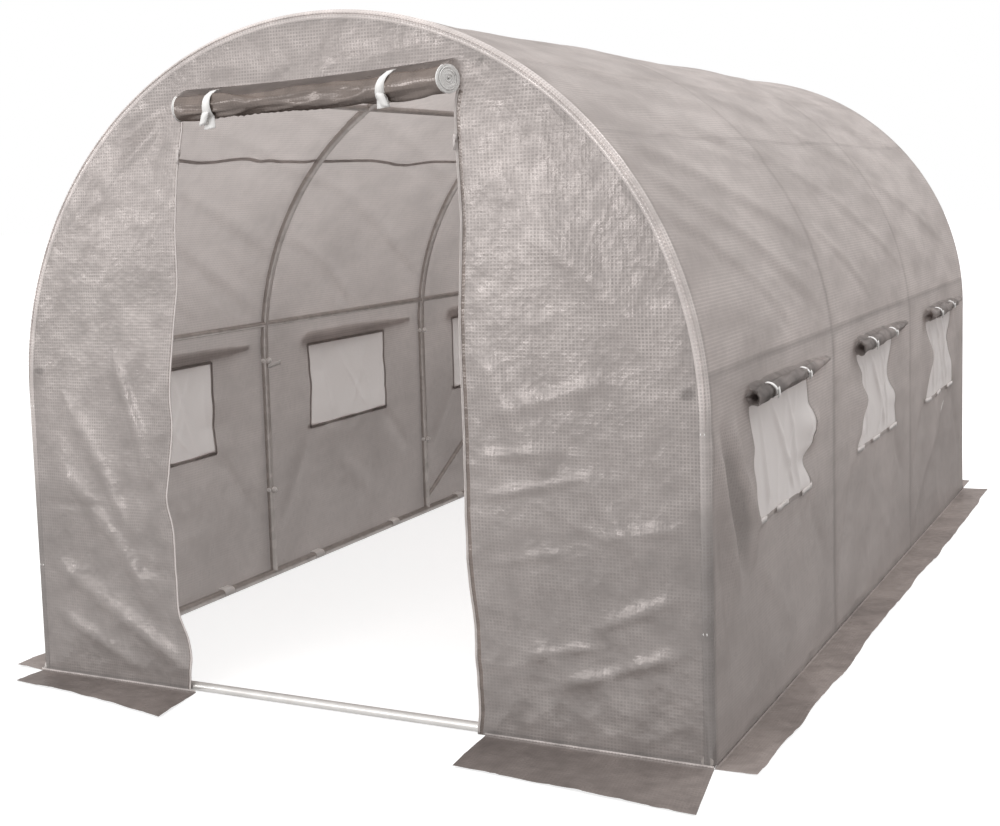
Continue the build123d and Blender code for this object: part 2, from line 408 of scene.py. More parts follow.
def woven_film(name, face, thread, through, share, crinkle, lines=(), spots=(), stretch=(1, 1, 1),
               rough=0.30, soil=0.0, mottle=0.06, gloss=0.07):
    """Woven polyethylene film: tapes of film and a ladder of threads, welded under a clear coat.

    It gives the eye a fine pale square grid on a milky warm grey, light that comes softly
    through from behind, and glints on the creases of its slick coat. lines gives the places
    across the cover where the shade of a tube lying against the film is painted as a dark band,
    and spots those where the shade of a fitting behind the film or of a deep fold is painted.
    stretch squeezes creases and patches along x, y and z, soil gives painted shade that darkens
    the foot, mottle is the unevenness of the coat and gloss its strength.
    """
    material, tree = new_material(name)
    flat, x, y = flat_place(tree)
    place = object_place(tree)
    squeezed = add(tree, "VectorMath", [(0, place), (1, stretch)], operation="MULTIPLY").outputs[0]
    # The grid of threads shows in patches about 90 mm across and fades between them
    ladder = thread_grid(tree, x, y, sizes().weave, 0.0, 0.38, True)
    clear = spread(tree, noise(tree, squeezed, 0.09, 5.0), 0.36, 0.64, 0.25, 1.15)
    # Uneven coat and dust: clouds about 300 mm across, and smears about 40 mm across
    cloud = noise(tree, place, 0.30, 2.0)
    smear = noise(tree, place, 0.04, 2.5)
    shades = [spread(tree, cloud, 0.3, 0.7, 1 - 1.5 * mottle, 1 + mottle),
              spread(tree, smear, 0.35, 0.7, 1 + mottle * 0.7, 1 - mottle)]
    if lines:
        # Painted shade: a tube behind the film is drawn as a soft dark band about as wide as the
        # tube
        turn = calc(tree, "ABSOLUTE", calc(tree, "SUBTRACT", x, AROUND / 2))
        wander = noise(tree, place, 0.25, 1.0)
        for at, half, depth, sway in lines:
            line = calc(tree, "MULTIPLY_ADD", wander, sway, at - sway / 2)
            gap = calc(tree, "ABSOLUTE", calc(tree, "SUBTRACT", turn, line))
            shades.append(spread(tree, gap, half * 0.3, half, 1 - depth, 1.0, True))
        # Painted shade of each hoop behind the film, as a band across the cover
        gap = calc(tree, "PINGPONG", calc(tree, "ADD", y, END_HOOP), BAY / 2)
        shades.append(spread(tree, gap, HOOP_TUBE * 0.2, HOOP_TUBE * 0.9, 0.91, 1.0, True))
    # Painted shade: the film darkens towards its foot along a cloudy line, and its threads fade
    # there
    if soil:
        height = add(tree, "SeparateXYZ", [(0, place)]).outputs["Z"]
        height = calc(tree, "MULTIPLY_ADD", cloud, 0.5, height)
        above_foot_shade = spread(tree, height, 0.45, 1.30, 0.0, 1.0, True)
        clear = calc(tree, "MULTIPLY", clear, spread(tree, above_foot_shade, 0.0, 1.0, 0.45, 1.0))
        shades.append(spread(tree, above_foot_shade, 0.0, 1.0, 1 - soil, 1.0))
    # Handling creases: flat facets about 45 mm across, and small ones about 17 mm across on them
    fray = 30 * MM
    bend = noise(tree, squeezed, 0.06, 1.0, "Color")
    bent = add(tree, "VectorMath", [(0, bend), (1, (fray, fray, fray)), (2, squeezed)],
               operation="MULTIPLY_ADD").outputs[0]
    crease = calc(tree, "MULTIPLY_ADD", crystals(tree, squeezed, 0.017, "Distance"), 0.5,
                  crystals(tree, bent, 0.045, "Distance"))
    # Painted shade at each spot: a soft dark patch with a frayed outline
    if spots:
        frayed = add(tree, "VectorMath", [(0, bend), (1, (fray, fray, 0)), (2, flat)],
                     operation="MULTIPLY_ADD").outputs[0]
    for across, up, wide, high, turn, depth in spots:
        spot = add(tree, "Mapping", [
            ("Vector", frayed), ("Location", (across + fray / 2, up + fray / 2, 0)),
            ("Rotation", (0, 0, turn)), ("Scale", (wide, high, 1)),
        ], vector_type="TEXTURE").outputs[0]
        gap = add(tree, "VectorMath", [(0, spot)], operation="LENGTH").outputs["Value"]
        shades.append(spread(tree, gap, 0.4, 1.0, 1 - depth, 1.0, True))
    shade = shades[0]
    for more in shades[1:]:
        shade = calc(tree, "MULTIPLY", shade, more)
    woven = mixed(tree, calc(tree, "MULTIPLY", ladder, clear), linear(face), linear(thread),
                  clamp_factor=False)
    polish = spread(tree, smear, 0.3, 0.7, rough - 0.06, rough + 0.08)
    normal = bump(tree, crinkle, 2.5 * MM, crease, bump(tree, 0.3, 0.5 * MM, ladder))
    tint = mixed(tree, 1.0, woven, shade, blend_type="MULTIPLY")
    body = shader(tree, "BsdfPrincipled", Base_Color=tint, Roughness=polish,
                  Specular_IOR_Level=0.0, Normal=normal)
    # The threads break up the gloss, so it stays as faint at a glance along the film as head on
    sheen = shader(tree, "BsdfAnisotropic", Color=linear("#fff5f1"), Roughness=polish,
                   Normal=normal)
    glow = mixed(tree, 1.0, linear(through), shade, blend_type="MULTIPLY")
    back = shader(tree, "BsdfTranslucent", Color=glow)
    return surfaced(material, blended(tree, share, blended(tree, gloss, body, sheen), back))


def window_netting(name):
    """Knitted polyethylene insect net: fine white thread.

    It gives the eye a pale, slightly see-through haze; the real 1.2 mm mesh is too fine
    to show in the render, so it is drawn at 5 mm.
    """
    material, tree = new_material(name)
    _, x, y = flat_place(tree)
    knit = thread_grid(tree, x, y, 5 * MM, 0.1, 0.4, False)
    tint = mixed(tree, knit, linear("#faf5f3"), linear("#fffbfa"))
    thread = shader(tree, "BsdfPrincipled", Base_Color=tint, Roughness=0.6,
                    Normal=bump(tree, 0.4, 0.4 * MM, knit))
    through = shader(tree, "BsdfTranslucent", Color=linear("#fffaf8"))
    cloth = blended(tree, 0.45, thread, through)
    opening = spread(tree, knit, 0.0, 1.0, 0.02, 0.0)
    return surfaced(material, blended(tree, opening, cloth, shader(tree, "BsdfTransparent")))


def white_tape(name, shown):
    """Woven polypropylene tape: it gives the eye a ribbed, soft white, a little grey in places.

    The real rib is 1.5 mm and is drawn at 4 mm so that it shows.
    """
    material, tree = new_material(name)
    half_rib = 2 * MM
    rib = calc(tree, "PINGPONG", flat_place(tree)[1], half_rib)
    rise = spread(tree, rib, 0.0, half_rib, 0.0, 1.0)
    dirt = noise(tree, object_place(tree), 0.05, 3.0)
    tint = mixed(tree, dirt, linear(shown), linear([c * 0.86 for c in shown]))
    return surfaced(material, shader(
        tree, "BsdfPrincipled", Base_Color=tint, Roughness=0.72,
        Normal=bump(tree, 0.6, 0.5 * MM, rise), Sheen_Weight=0.2))


def galvanised_tube(name, shown, rough, fleck):
    """Zinc on drawn steel tube: dull grey-brown metal with zinc flowers about 25 mm across.

    It gives the eye a soft long highlight along each tube and a faint mottle.
    """
    material, tree = new_material(name)
    place = object_place(tree)
    grey = add(tree, "RGBToBW", [(0, crystals(tree, place, 0.025, "Color"))]).outputs[0]
    dirt = noise(tree, place, 0.12, 4.0)
    spangle = mixed(tree, grey, linear(shown), linear([c * fleck for c in shown]))
    soil = spread(tree, dirt, 0.5, 0.75, 0.0, 3 - 3 * fleck)
    tint = mixed(tree, soil, spangle, linear("#6f655e"))
    polish = spread(tree, dirt, 0.3, 0.7, rough, rough + 0.18)
    return surfaced(material, shader(
        tree, "BsdfPrincipled", Base_Color=tint, Metallic=0.55, Roughness=polish,
        Normal=bump(tree, 0.25, 0.2 * MM, dirt)))


def moulded_plastic(name, shown, rough):
    """Moulded polypropylene: it gives the eye an even colour with fine grit and rubbed high spots.

    The real grit is 0.3 mm and is drawn at 2 mm so that it shows.
    """
    material, tree = new_material(name)
    place = object_place(tree)
    base = linear(shown)
    worn = tuple(min(1.0, c * 1.25) for c in base[:3]) + (1.0,)
    tint = mixed(tree, noise(tree, place, 0.02, 3.0), base, worn)
    grit = noise(tree, place, 0.002, 2.0)
    return surfaced(material, shader(
        tree, "BsdfPrincipled", Base_Color=tint, Roughness=rough, IOR=1.49,
        Normal=bump(tree, 0.3, 0.2 * MM, grit)))


# Spots of painted shade on the film: place, half sizes, turn and depth. On the front wall, the
# shade of each rail's end fitting that lies against it from behind, placed across and up
FITTINGS = (
    (-0.952, 0.872, 0.022, 0.014, 0.0, 0.40), (0.946, 0.868, 0.024, 0.015, 0.0, 0.40),
    (0.452, 1.640, 0.022, 0.014, 0.6, 0.40),
)
# On the cover, painted shade in the first bay's deep fold, placed round the hoops and along the
# tunnel
FOLD_SHADE_SPOTS = ((AROUND - 0.58, -1.587, 0.23, 0.050, 0.418, 0.30),)
# Painted shade of the tubes and the seam behind the cover: place from its middle line, half width,
# depth and sway
TUBE_SHADE_LINES = (
    (PURLIN_TURN * COVER_REACH, 14 * MM, 0.06, 4 * MM),
    (RAIL_TURN * COVER_REACH, 12 * MM, 0.11, 6 * MM),
    (SEAM_TURN * COVER_REACH, 10 * MM, 0.07, 20 * MM),
)
# Woven films: face, thread and back as shares of the film's colour, the share of light let
# through, the crinkle, and what else differs. PALE is a back that is nearer to white
PALE = "pale"
DULL, WORN = np.multiply((0.69, 0.67, 0.66), 1.03), np.multiply((0.69, 0.67, 0.66), 0.87)
DARK = np.array((0.57, 0.535, 0.51))
FILMS = {
    "woven_film_cover": (0.94, 1.16, 1.16, 0.44, 0.2, dict(
        lines=TUBE_SHADE_LINES, spots=FOLD_SHADE_SPOTS, stretch=(1.0, 0.3, 1.0), soil=0.16, mottle=0.045)),
    # The rim is the cover's film wrapped round an end hoop: its lighter face and threads are a
    # painted highlight along the bead, beside the real gloss of its lower roughness, and its foot
    # has painted shade
    "woven_film_rim": (1.10, 1.30, 1.16, 0.25, 0.2, dict(rough=0.2, soil=0.62)),
    "woven_film_wall": (0.80, 1.09, 1.0, 0.40, 0.6, dict(
        spots=FITTINGS, soil=0.10, mottle=0.07, gloss=0.10)),
    "woven_film_edge": (1.0, 1.18, 1.16, 0.12, 0.6, dict(mottle=0.2)),
    "woven_film_skirt": (DULL, DULL * 1.08, DULL, 0.1, 0.4, dict(mottle=0.14)),
    "woven_film_front_skirt": (WORN, WORN * 1.08, WORN, 0.1, 0.4, dict(mottle=0.14)),
    "woven_film_hem": (0.95, 1.0, PALE, 0.85, 0.2, {}),
    "woven_film_door_roll": (DARK, DARK * 1.08, DARK, 0.08, 0.6, dict(
        stretch=(0.3, 1, 1), rough=0.24, mottle=0.2)),
    "woven_film_window_roll": (0.84, 0.84 * 1.06, PALE, 0.66, 0.5, dict(
        stretch=(1, 0.3, 1), mottle=0.16)),
}


def toned(film, share):
    """The film's colour times one share or three, or paled."""
    if share is PALE:
        return [c * 0.6 + 0.4 for c in film]
    return np.minimum(np.multiply(film, share), 1.0)


def finish(name):
    """The finished material of that name, made on first use."""
    if name in bpy.data.materials:
        return bpy.data.materials[name]
    colours = bpy.context.scene.tunnel_colours
    if name in FILMS:
        *tones, share, crinkle, rest = FILMS[name]
        tones = [toned(tuple(colours.film), tone) for tone in tones]
        return woven_film(name, *tones, share, crinkle, **rest)
    if name == "window_netting":
        return window_netting(name)
    if name == "white_tape":
        return white_tape(name, tuple(colours.tape))
    if name == "worn_tape":
        return white_tape(name, [c * 0.93 for c in colours.tape])
    if name == "galvanised_tube":
        return galvanised_tube(name, tuple(colours.tube), 0.30, 0.90)
    if name == "bright_sill_tube":
        return galvanised_tube(name, (0.84, 0.83, 0.82), 0.28, 0.96)
    if name == "white_polypropylene":
        return moulded_plastic(name, "#f6f2ef", 0.45)
    raise ValueError("no finish named " + name)


# Sheets of film

# Heights of the brace in the last bay
BRACE_LOW, BRACE_HIGH = 0.06, 0.665
# Folds of the roof: where each starts and ends, along the tunnel and in degrees above the
# springline, its width and its height, in metres
ROOF_FOLDS = (
    (-1.60, 56, -0.62, 48, 0.020, -0.0045), (-1.68, 50, -0.46, 33, 0.024, -0.0065),
    (-1.70, 39, -0.62, 19, 0.022, -0.0070), (-1.70, 33, -0.70, 9, 0.020, -0.0065),
    (-1.72, 27, -1.02, 8, 0.018, -0.0060), (-1.45, 75, -0.80, 66, 0.026, -0.0050),
    (-0.56, 52, 0.52, 34, 0.026, -0.0060), (-0.54, 36, 0.40, 16, 0.022, -0.0065),
    (-0.50, 22, 0.02, 7, 0.018, -0.0060), (-0.10, 24, 0.52, 12, 0.020, -0.0055),
    (-0.50, 70, 0.40, 62, 0.028, -0.0050), (0.66, 50, 1.70, 38, 0.024, -0.0055),
    (0.66, 30, 1.60, 12, 0.022, -0.0060), (0.72, 66, 1.66, 74, 0.028, -0.0045),
)
# Folds of the flat side: bay, two ends from the bay's middle, width and height, in metres
WALL_FOLDS = (
    (0, -0.50, 0.76, -0.34, 0.40, 0.020, -0.0230), (0, -0.57, 0.75, -0.41, 0.38, 0.026, 0.0150),
    (0, -0.43, 0.77, -0.26, 0.42, 0.018, 0.0120), (0, -0.54, 0.60, -0.44, 0.20, 0.026, -0.0090),
    (0, 0.30, 0.48, 0.52, 0.22, 0.028, -0.0080), (0, -0.20, 0.40, 0.10, 0.16, 0.032, 0.0060),
    (1, -0.32, 0.46, -0.50, 0.18, 0.030, -0.0080), (1, 0.28, 0.48, 0.46, 0.30, 0.026, -0.0080),
    (1, -0.10, 0.36, 0.24, 0.12, 0.034, 0.0060), (2, -0.30, 0.50, -0.52, 0.26, 0.028, -0.0070),
    (2, 0.30, 0.48, 0.50, 0.20, 0.028, -0.0070), (2, 0.34, 0.84, 0.52, 0.62, 0.026, -0.0050),
)
# How the right-hand windows' front and back edges hang: share of the way down, shift along the
# tunnel and push outward, in millimetres
WINDOW_HANG = (
    (((0.0, 0, 0), (0.5, 24, 6), (1.0, 44, 10)),
     ((0.0, 0, 0), (0.2, 8, 4), (0.42, 34, 20), (0.58, 20, 12), (0.74, -24, -8), (1.0, 26, 6))),
    (((0.0, 0, 0), (0.25, 34, 12), (0.5, 66, 22), (0.8, 30, 12), (1.0, 8, 4)),
     ((0.0, 0, 0), (0.37, -34, -10), (0.7, 16, 6), (1.0, 30, 6))),
    (((0.0, 0, 0), (0.5, 54, 20), (1.0, 8, 4)),
     ((0.0, 0, 0), (0.4, -30, -8), (0.75, 10, 4), (1.0, 20, 4))),
)


def window_hang(up, bay, end, side):
    """How far a window's front or back edge shifts along the tunnel, and outward, at a height."""
    share = np.clip((WINDOW_HIGH - up) / (WINDOW_HIGH - WINDOW_LOW), 0, 1)
    down, shift, push = np.array(WINDOW_HANG[bay][0 if end < 0 else 1]).T
    scale = (1.0 if side > 0 else 0.3) * MM
    seed = 40 + 7 * bay + 3 * (end > 0) + (0 if side > 0 else 50)
    flutter = 4 * share * (1 - share) * rolling(up, 0, 0.05, seed) * MM
    ease = down[0] + 0 * share
    for a, b in zip(down, down[1:]):
        ease = ease + (b - a) * eased((share - a) / (b - a))
    return (scale * np.interp(ease, down, shift) + 7 * flutter,
            scale * np.interp(ease, down, push) + 2 * flutter)


def beside_window(up, fade):
    """1 at the windows' heights, fading above and below them."""
    return np.exp(-np.clip(np.maximum(WINDOW_LOW - up, up - WINDOW_HIGH), 0, None) / fade)


def hoop_share(y):
    """1 at each hoop and 0 in the middle of each bay."""
    return np.clip(np.abs(((y - HOOPS[0]) / BAY) % 1 - 0.5) * 2, 0, 1)


def cover_rise(s, y):
    """How far the film stands off the hoop line, outward positive."""
    seed = sizes().seed
    between = 1 - hoop_share(y) ** 2.2
    turn = np.abs(s - AROUND / 2)
    tubes = np.maximum(near(turn, PURLIN_TURN * COVER_REACH, 0.10),
                       near(turn, RAIL_TURN * COVER_REACH, 0.10))
    on_wall = 1 / (1 + np.exp((AROUND / 2 - SPRING - turn) / 0.06))
    lumps = 3.0 * rolling(s, y, 0.42, seed) + 1.8 * rolling(s, y, 0.16, seed + 1)
    wall_lumps = 4.5 * rolling(s, y, 0.22, seed + 2) + 3.0 * creased(s, y, 0.13, seed + 3)
    rise = -sizes().sag * between * (1 - 0.55 * tubes) * (1 - 0.7 * on_wall)
    rise = rise + between * (lumps + on_wall * wall_lumps) * MM
    for side, _ in SIDES:
        up = s if side < 0 else AROUND - s
        folds = np.zeros_like(rise)
        for y0, turn0, y1, turn1, width, height in ROOF_FOLDS:
            start = (y0, SPRING + math.radians(turn0) * COVER_REACH)
            end = (y1, SPRING + math.radians(turn1) * COVER_REACH)
            folds = folds + fold(y, up, start, end, width, height, 0.02)
            beside = fold(y, up - 2.2 * width, start, end, width * 1.2, height, 0.02)
            folds = folds - 0.7 * beside
        for bay, y_low, low, y_high, high, width, height in WALL_FOLDS:
            start, end = (BAYS[bay] + y_low, low), (BAYS[bay] + y_high, high)
            folds = folds + fold(y, up, start, end, width, height)
        for k, b in enumerate(BAYS):
            for end in ENDS:
                pull = near(y, b + end * HALF_WINDOW, 0.10) * beside_window(up, 0.05)
                folds = folds + pull * window_hang(up, k, end, side)[1]
        rise = rise + np.where(up < AROUND / 2, folds, 0.0)
    # The film stays outside the hoops, the rails, the base clips and the last bay's slanting brace
    up = np.minimum(s, AROUND - s)
    brace = BRACE_LOW + (BRACE_HIGH - BRACE_LOW) * (y - HOOPS[2]) / BAY
    brace = near(up, brace, 0.10) * (y > HOOPS[2])
    foot = np.clip(up / 0.15 - 0.2, 0, 1)
    deep = (9 + 12 * on_wall * (1 - brace)) * foot * MM
    lowest = -2 * MM - deep * between * (1 - 0.72 * tubes)
    return np.clip(rise, lowest, (11 + 16 * on_wall) * MM) + 2 * MM * (1 - foot)


def side_reach(side, up, y):
    """How far out the cover's side lies at a height and a place along the tunnel."""
    return COVER_REACH + cover_rise(up if side < 0 else AROUND - up, y)


def cover_point(s, reach):
    """Place of the cover's profile at arc length s from the left foot, in the end plane."""
    turn = np.clip((s - SPRING) / COVER_REACH, 0, math.pi)
    left, right = s < SPRING, s > AROUND - SPRING
    x = np.where(left, -reach, np.where(right, reach, -np.cos(turn) * reach))
    z = np.where(left, s, np.where(right, AROUND - s, SPRING + np.sin(turn) * reach))
    return x, z


def cover_places():
    """Grid of the cover: arc lengths from the left foot, and rows along the tunnel.

    Each row has its place, its drop below the hoop line and its place on the flat sheet. The
    first and last rows wrap round the end hoops.
    """
    step = sizes().mesh_step
    half = [0, WINDOW_LOW, WINDOW_HIGH, SPRING]
    around = stepped(half + [AROUND - s for s in half[::-1]], step)
    edges = tuple(b + end * HALF_WINDOW for b in BAYS for end in ENDS)
    rows = stepped(sorted(HOOPS + edges), step)
    wrap = np.linspace(WRAP_TURN, 0, 8)[:-1]
    drop = BEAD * (np.cos(wrap) - 1)
    front = placed(HOOPS[0] - BEAD * np.sin(wrap), drop, -BEAD * wrap)
    back = placed(HOOPS[3] + BEAD * np.sin(wrap), drop, 2 * END_HOOP + BEAD * wrap)[::-1]
    return around, np.vstack([front, placed(rows, 0.0, rows - HOOPS[0]), back])


class TUNNEL_OT_cover(bpy.types.Operator):
    """Lays one sheet of film over the hoops, from foot to foot, with its windows cut out"""

    bl_idname = "tunnel.cover"
    bl_label = "Cover"

    def execute(self, context):
        around, rows = cover_places()
        s, y = np.meshgrid(around, rows[:, 0], indexing="ij")
        wrap = np.broadcast_to(rows[:, 1], s.shape)
        shift = np.zeros_like(y)
        for side, _ in SIDES:
            up = s if side < 0 else AROUND - s
            level = beside_window(up, 0.03) * (up < SPRING + 0.1)
            for k, b in enumerate(BAYS):
                for end in ENDS:
                    pull = near(y, b + end * HALF_WINDOW, 0.12) * level
                    shift = shift + pull * window_hang(up, k, end, side)[0]
        reach = COVER_REACH + wrap + np.where(wrap < 0, 0.0, cover_rise(s, y))
        x, z = cover_point(s, reach)
        points = placed(x, y + shift, np.maximum(z, FOOT))
        flat = placed(around[:, None], rows[None, :, 2] - END_HOOP)
        up = np.minimum(middles(around), AROUND - middles(around))
        level = (up > WINDOW_LOW) & (up < WINDOW_HIGH)
        off_bay = np.abs(middles(rows[:, 0])[:, None] - np.array(BAYS))
        keep = ~(level[:, None] & (np.min(off_bay, axis=1) < HALF_WINDOW)[None, :])
        rim = np.broadcast_to(middles(rows[:, 1]) < 0, keep.shape)
        shape = compact(points, flat, grid_faces(*s.shape, keep))
        piece = make_piece("cover", shape, ["woven_film_cover", "woven_film_rim"],
                           rim[keep])
        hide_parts("cover_roof", "cover_haunch_left", "cover_haunch_right",
                    "side_wall_left", "side_wall_right")
        return {"FINISHED"}


# Wander of the door's edges: height and shift to the right, in metres
LEFT_EDGE = (
    (0.0, -0.058), (0.031, -0.047), (0.096, -0.038), (0.159, -0.052), (0.221, -0.079),
    (0.335, -0.083), (0.455, -0.084), (0.524, -0.106), (0.603, -0.092), (0.736, -0.070),
    (0.806, -0.077), (0.874, -0.072), (0.985, -0.055), (1.122, -0.030), (1.257, -0.028),
    (1.417, -0.012), (1.543, 0.015), (1.58, 0.016),
)
RIGHT_EDGE = (
    (0.0, -0.022), (0.057, -0.013), (0.146, -0.015), (0.294, -0.021), (0.386, -0.032),
    (0.521, -0.036), (0.709, -0.035), (0.846, -0.036), (0.946, -0.038), (1.046, -0.037),
    (1.142, -0.031), (1.268, -0.024), (1.375, -0.028), (1.496, -0.032), (1.58, -0.032),
)
# Folds of the front wall: two ends (x, z), width and height towards the front, in metres
FRONT_FOLDS = (
    (-0.95, 0.34, -0.42, 0.06, 0.030, 0.0120), (-0.96, 0.20, -0.62, 0.05, 0.024, 0.0090),
    (-0.90, 0.62, -0.52, 0.24, 0.032, 0.0120), (-0.86, 0.80, -0.60, 0.42, 0.028, 0.0100),
    (-0.66, 0.92, -0.50, 0.58, 0.026, 0.0100), (-0.97, 0.50, -0.74, 0.50, 0.012, -0.0040),
    (-0.58, 0.34, -0.44, 0.32, 0.014, -0.0050), (-0.84, 1.26, -0.60, 1.44, 0.024, 0.0060),
    (-0.62, 1.52, -0.44, 1.60, 0.020, 0.0070), (-0.70, 1.36, -0.50, 1.54, 0.018, -0.0060),
    (0.46, 0.96, 0.62, 0.66, 0.034, 0.0070), (0.48, 0.80, 0.74, 0.88, 0.020, 0.0050),
    (0.46, 0.70, 0.64, 0.72, 0.014, 0.0050), (0.47, 0.60, 0.70, 0.66, 0.012, 0.0050),
    (0.70, 0.66, 0.86, 0.44, 0.024, 0.0060), (0.74, 0.52, 0.96, 0.56, 0.014, 0.0050),
    (0.72, 0.30, 0.94, 0.40, 0.016, 0.0060), (0.66, 0.16, 0.95, 0.27, 0.016, 0.0070),
    (0.50, 0.44, 0.66, 0.48, 0.012, 0.0040), (0.56, 0.22, 0.74, 0.26, 0.012, 0.0040),
    (0.60, 1.24, 0.86, 1.00, 0.040, 0.0060), (-0.34, 1.70, -0.10, 1.66, 0.024, -0.0050),
    (0.04, 1.66, 0.34, 1.70, 0.024, -0.0050),
)
# Width of the doubled hem beside each door edge
LEFT_HEM, RIGHT_HEM = 8 * MM, 13 * MM


def wall_grid(step, keys):
    """Places x and z over an end wall, column by column, and the row that meets the door's top."""
    columns = stepped(keys, step)
    top = SPRING + np.sqrt(np.maximum(WALL_REACH ** 2 - columns ** 2, 0))
    edge_top = SPRING + math.sqrt(WALL_REACH ** 2 - HALF_DOOR ** 2)
    split = DOOR_TOP * np.minimum(top / edge_top, 1.0)
    low = np.linspace(0, 1, max(2, round(DOOR_TOP / step)))
    high = np.linspace(0, 1, max(2, round((SPRING + WALL_REACH - DOOR_TOP) / step)))
    above = (split + high[1:, None] * (top - split)).T
    z = np.concatenate([low[None] * split[:, None], above], 1)
    return np.broadcast_to(columns[:, None], z.shape), z, len(low) - 1


def edge_shift(table, z):
    """Shift of a door edge at a height, the table's kinks rounded off."""
    heights, shifts = np.array(table).T
    fine = np.linspace(-0.1, DOOR_TOP + 0.2, 480)
    line = np.pad(np.interp(fine, heights, shifts), 7, mode="edge")
    return np.interp(z, fine, np.convolve(line, np.ones(15) / 15, mode="valid"))


def inside_rim(x, z, reach):
    """From 0 at the end wall's rim to 1 a little way inside it."""
    rim = np.where(z > SPRING, np.hypot(x, np.maximum(z - SPRING, 0)), np.abs(x))
    return np.clip((WALL_REACH - rim) / reach, 0, 1)


def front_sway(x, z):
    """How far the loose door edges draw the front wall to the right."""
    drawn = 0
    for side, table in ((-1, LEFT_EDGE), (1, RIGHT_EDGE)):
        share = np.clip((HALF_DOOR + side * x) / (2 * HALF_DOOR), 0, 1)
        beyond = np.maximum(side * x - HALF_DOOR, 0)
        drawn = drawn + share * near(beyond, 0, 0.22) * edge_shift(table, z)
    fade = np.clip((DOOR_TOP + 0.09 - z) / 0.09, 0, 1) * inside_rim(x, z, 0.14)
    return eased(fade) * drawn


def front_rise(x, z):
    """How far the front wall's film stands out from its plane, towards the front."""
    seed = sizes().seed + 100
    loose = inside_rim(x, z, 0.10) * np.clip(z / 0.05, 0, 1)
    low = np.clip(1 - z / 1.1, 0, 1)
    rise = 4.0 * rolling(x, z, 0.45, seed) + (1.0 + 1.5 * low) * rolling(x, z, 0.17, seed + 1)
    rise = rise + (0.4 + low) * 2.0 * creased(x, z, 0.15, seed + 2)
    # Crumpled facets, most on the lower right
    crumpled_share = np.clip(1.15 - z, 0.08, 1) * np.where(x > 0, 1.0, 0.6)
    large = faceted(x + z * 0.3, z - x * 0.2, 0.14, seed + 4)
    small = faceted(x - z * 0.3, z + x * 0.1, 0.06, seed + 5)
    rise = (rise + crumpled_share * (8.0 * large + 4.5 * small - 5)) * MM
    for x0, z0, x1, z1, width, height in FRONT_FOLDS:
        rise = rise + fold(x, z, (x0, z0), (x1, z1), width, height)
    # The door's hems are sewn double, and the rails' end fittings press the film out
    hem = np.where(x > 0, RIGHT_HEM, LEFT_HEM)
    rise = loose * (rise + 1.2 * MM * ((np.abs(x) < HALF_DOOR + hem) & (z < DOOR_TOP)))
    for across, up, wide, high, _, _ in FITTINGS:
        rise = rise + 2 * MM * near(x, across, wide) * near(z, up, high)
    return np.clip(rise, *WALL_SLACK)


class TUNNEL_OT_front_wall(bpy.types.Operator):
    """Hangs the front wall inside the first hoop, the doorway open and its edges hanging loose"""

    bl_idname = "tunnel.front_wall"
    bl_label = "Front wall"

    def execute(self, context):
        hems = (-HALF_DOOR - LEFT_HEM, HALF_DOOR + RIGHT_HEM)
        keys = [-WALL_REACH, hems[0], -HALF_DOOR, HALF_DOOR, hems[1], WALL_REACH]
        x, z, split = wall_grid(sizes().wall_step, keys)
        points = placed(x + front_sway(x, z), WALL_FACE - front_rise(x, z), np.maximum(z, FOOT))
        mid = middles(x[:, 0])
        below = (np.arange(z.shape[1] - 1) < split)[None, :]
        keep = ~((np.abs(mid) < HALF_DOOR)[:, None] & below)
        hem = ((mid > hems[0]) & (mid < hems[1]))[:, None] & below
        shape = compact(points, placed(x, z), grid_faces(*z.shape, keep))
        piece = make_piece("front_wall", shape, ["woven_film_wall", "woven_film_door_roll"],
                           hem[keep])
        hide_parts("front_panel_left", "front_panel_right", "front_panel_top")
        return {"FINISHED"}


class TUNNEL_OT_back_wall(bpy.types.Operator):
    """Hangs the closed back wall inside the last hoop"""

    bl_idname = "tunnel.back_wall"
    bl_label = "Back wall"

    def execute(self, context):
        seed = sizes().seed + 200
        keys = [-WALL_REACH, -HALF_DOOR, HALF_DOOR, WALL_REACH]
        x, z, _ = wall_grid(sizes().wall_step * 1.25, keys)
        low = np.clip(1 - z / 1.1, 0, 1)
        rise = 6.0 * rolling(x, z, 0.5, seed) + 3.0 * rolling(x, z, 0.2, seed + 1)
        creases = 3.0 * creased(x, z, 0.17, seed + 2) + 1.4 * creased(x, z, 0.07, seed + 3)
        rise = (rise + (0.4 + low) * creases) * MM
        for side, _ in SIDES:
            for k in range(5):
                start, end = (side * 0.95, 0.25 + 0.17 * k), (side * (0.25 + 0.14 * k), 0.04)
                rise = rise + fold(x, z, start, end, 0.03, 6 * MM, 0.02)
        rise = rise * inside_rim(x, z, 0.10) * np.clip(z / 0.05, 0, 1)
        points = placed(x, -WALL_FACE + np.clip(rise, *WALL_SLACK), np.maximum(z, FOOT))
        shape = points, placed(x, z), grid_faces(*z.shape)[:, ::-1]
        piece = make_piece("back_wall", shape, ["woven_film_wall"])
        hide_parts("back_panel")
        return {"FINISHED"}


# Depth of each ground flap at both ends and the middle of its length, as shares of the frame's
SKIRT_SHARES = {
    "front_left": (0.54, 0.80, 1.14), "front_right": (1.16, 1.28, 1.44), "back": (1.0, 0.85, 0.95),
    "left": (0.85, 0.95, 0.85), "right": (0.85, 0.92, 0.85),
}
# Heights of the hem that turns up the wall
SKIRT_HEM = np.array([0.009, 0.007, 0.004])


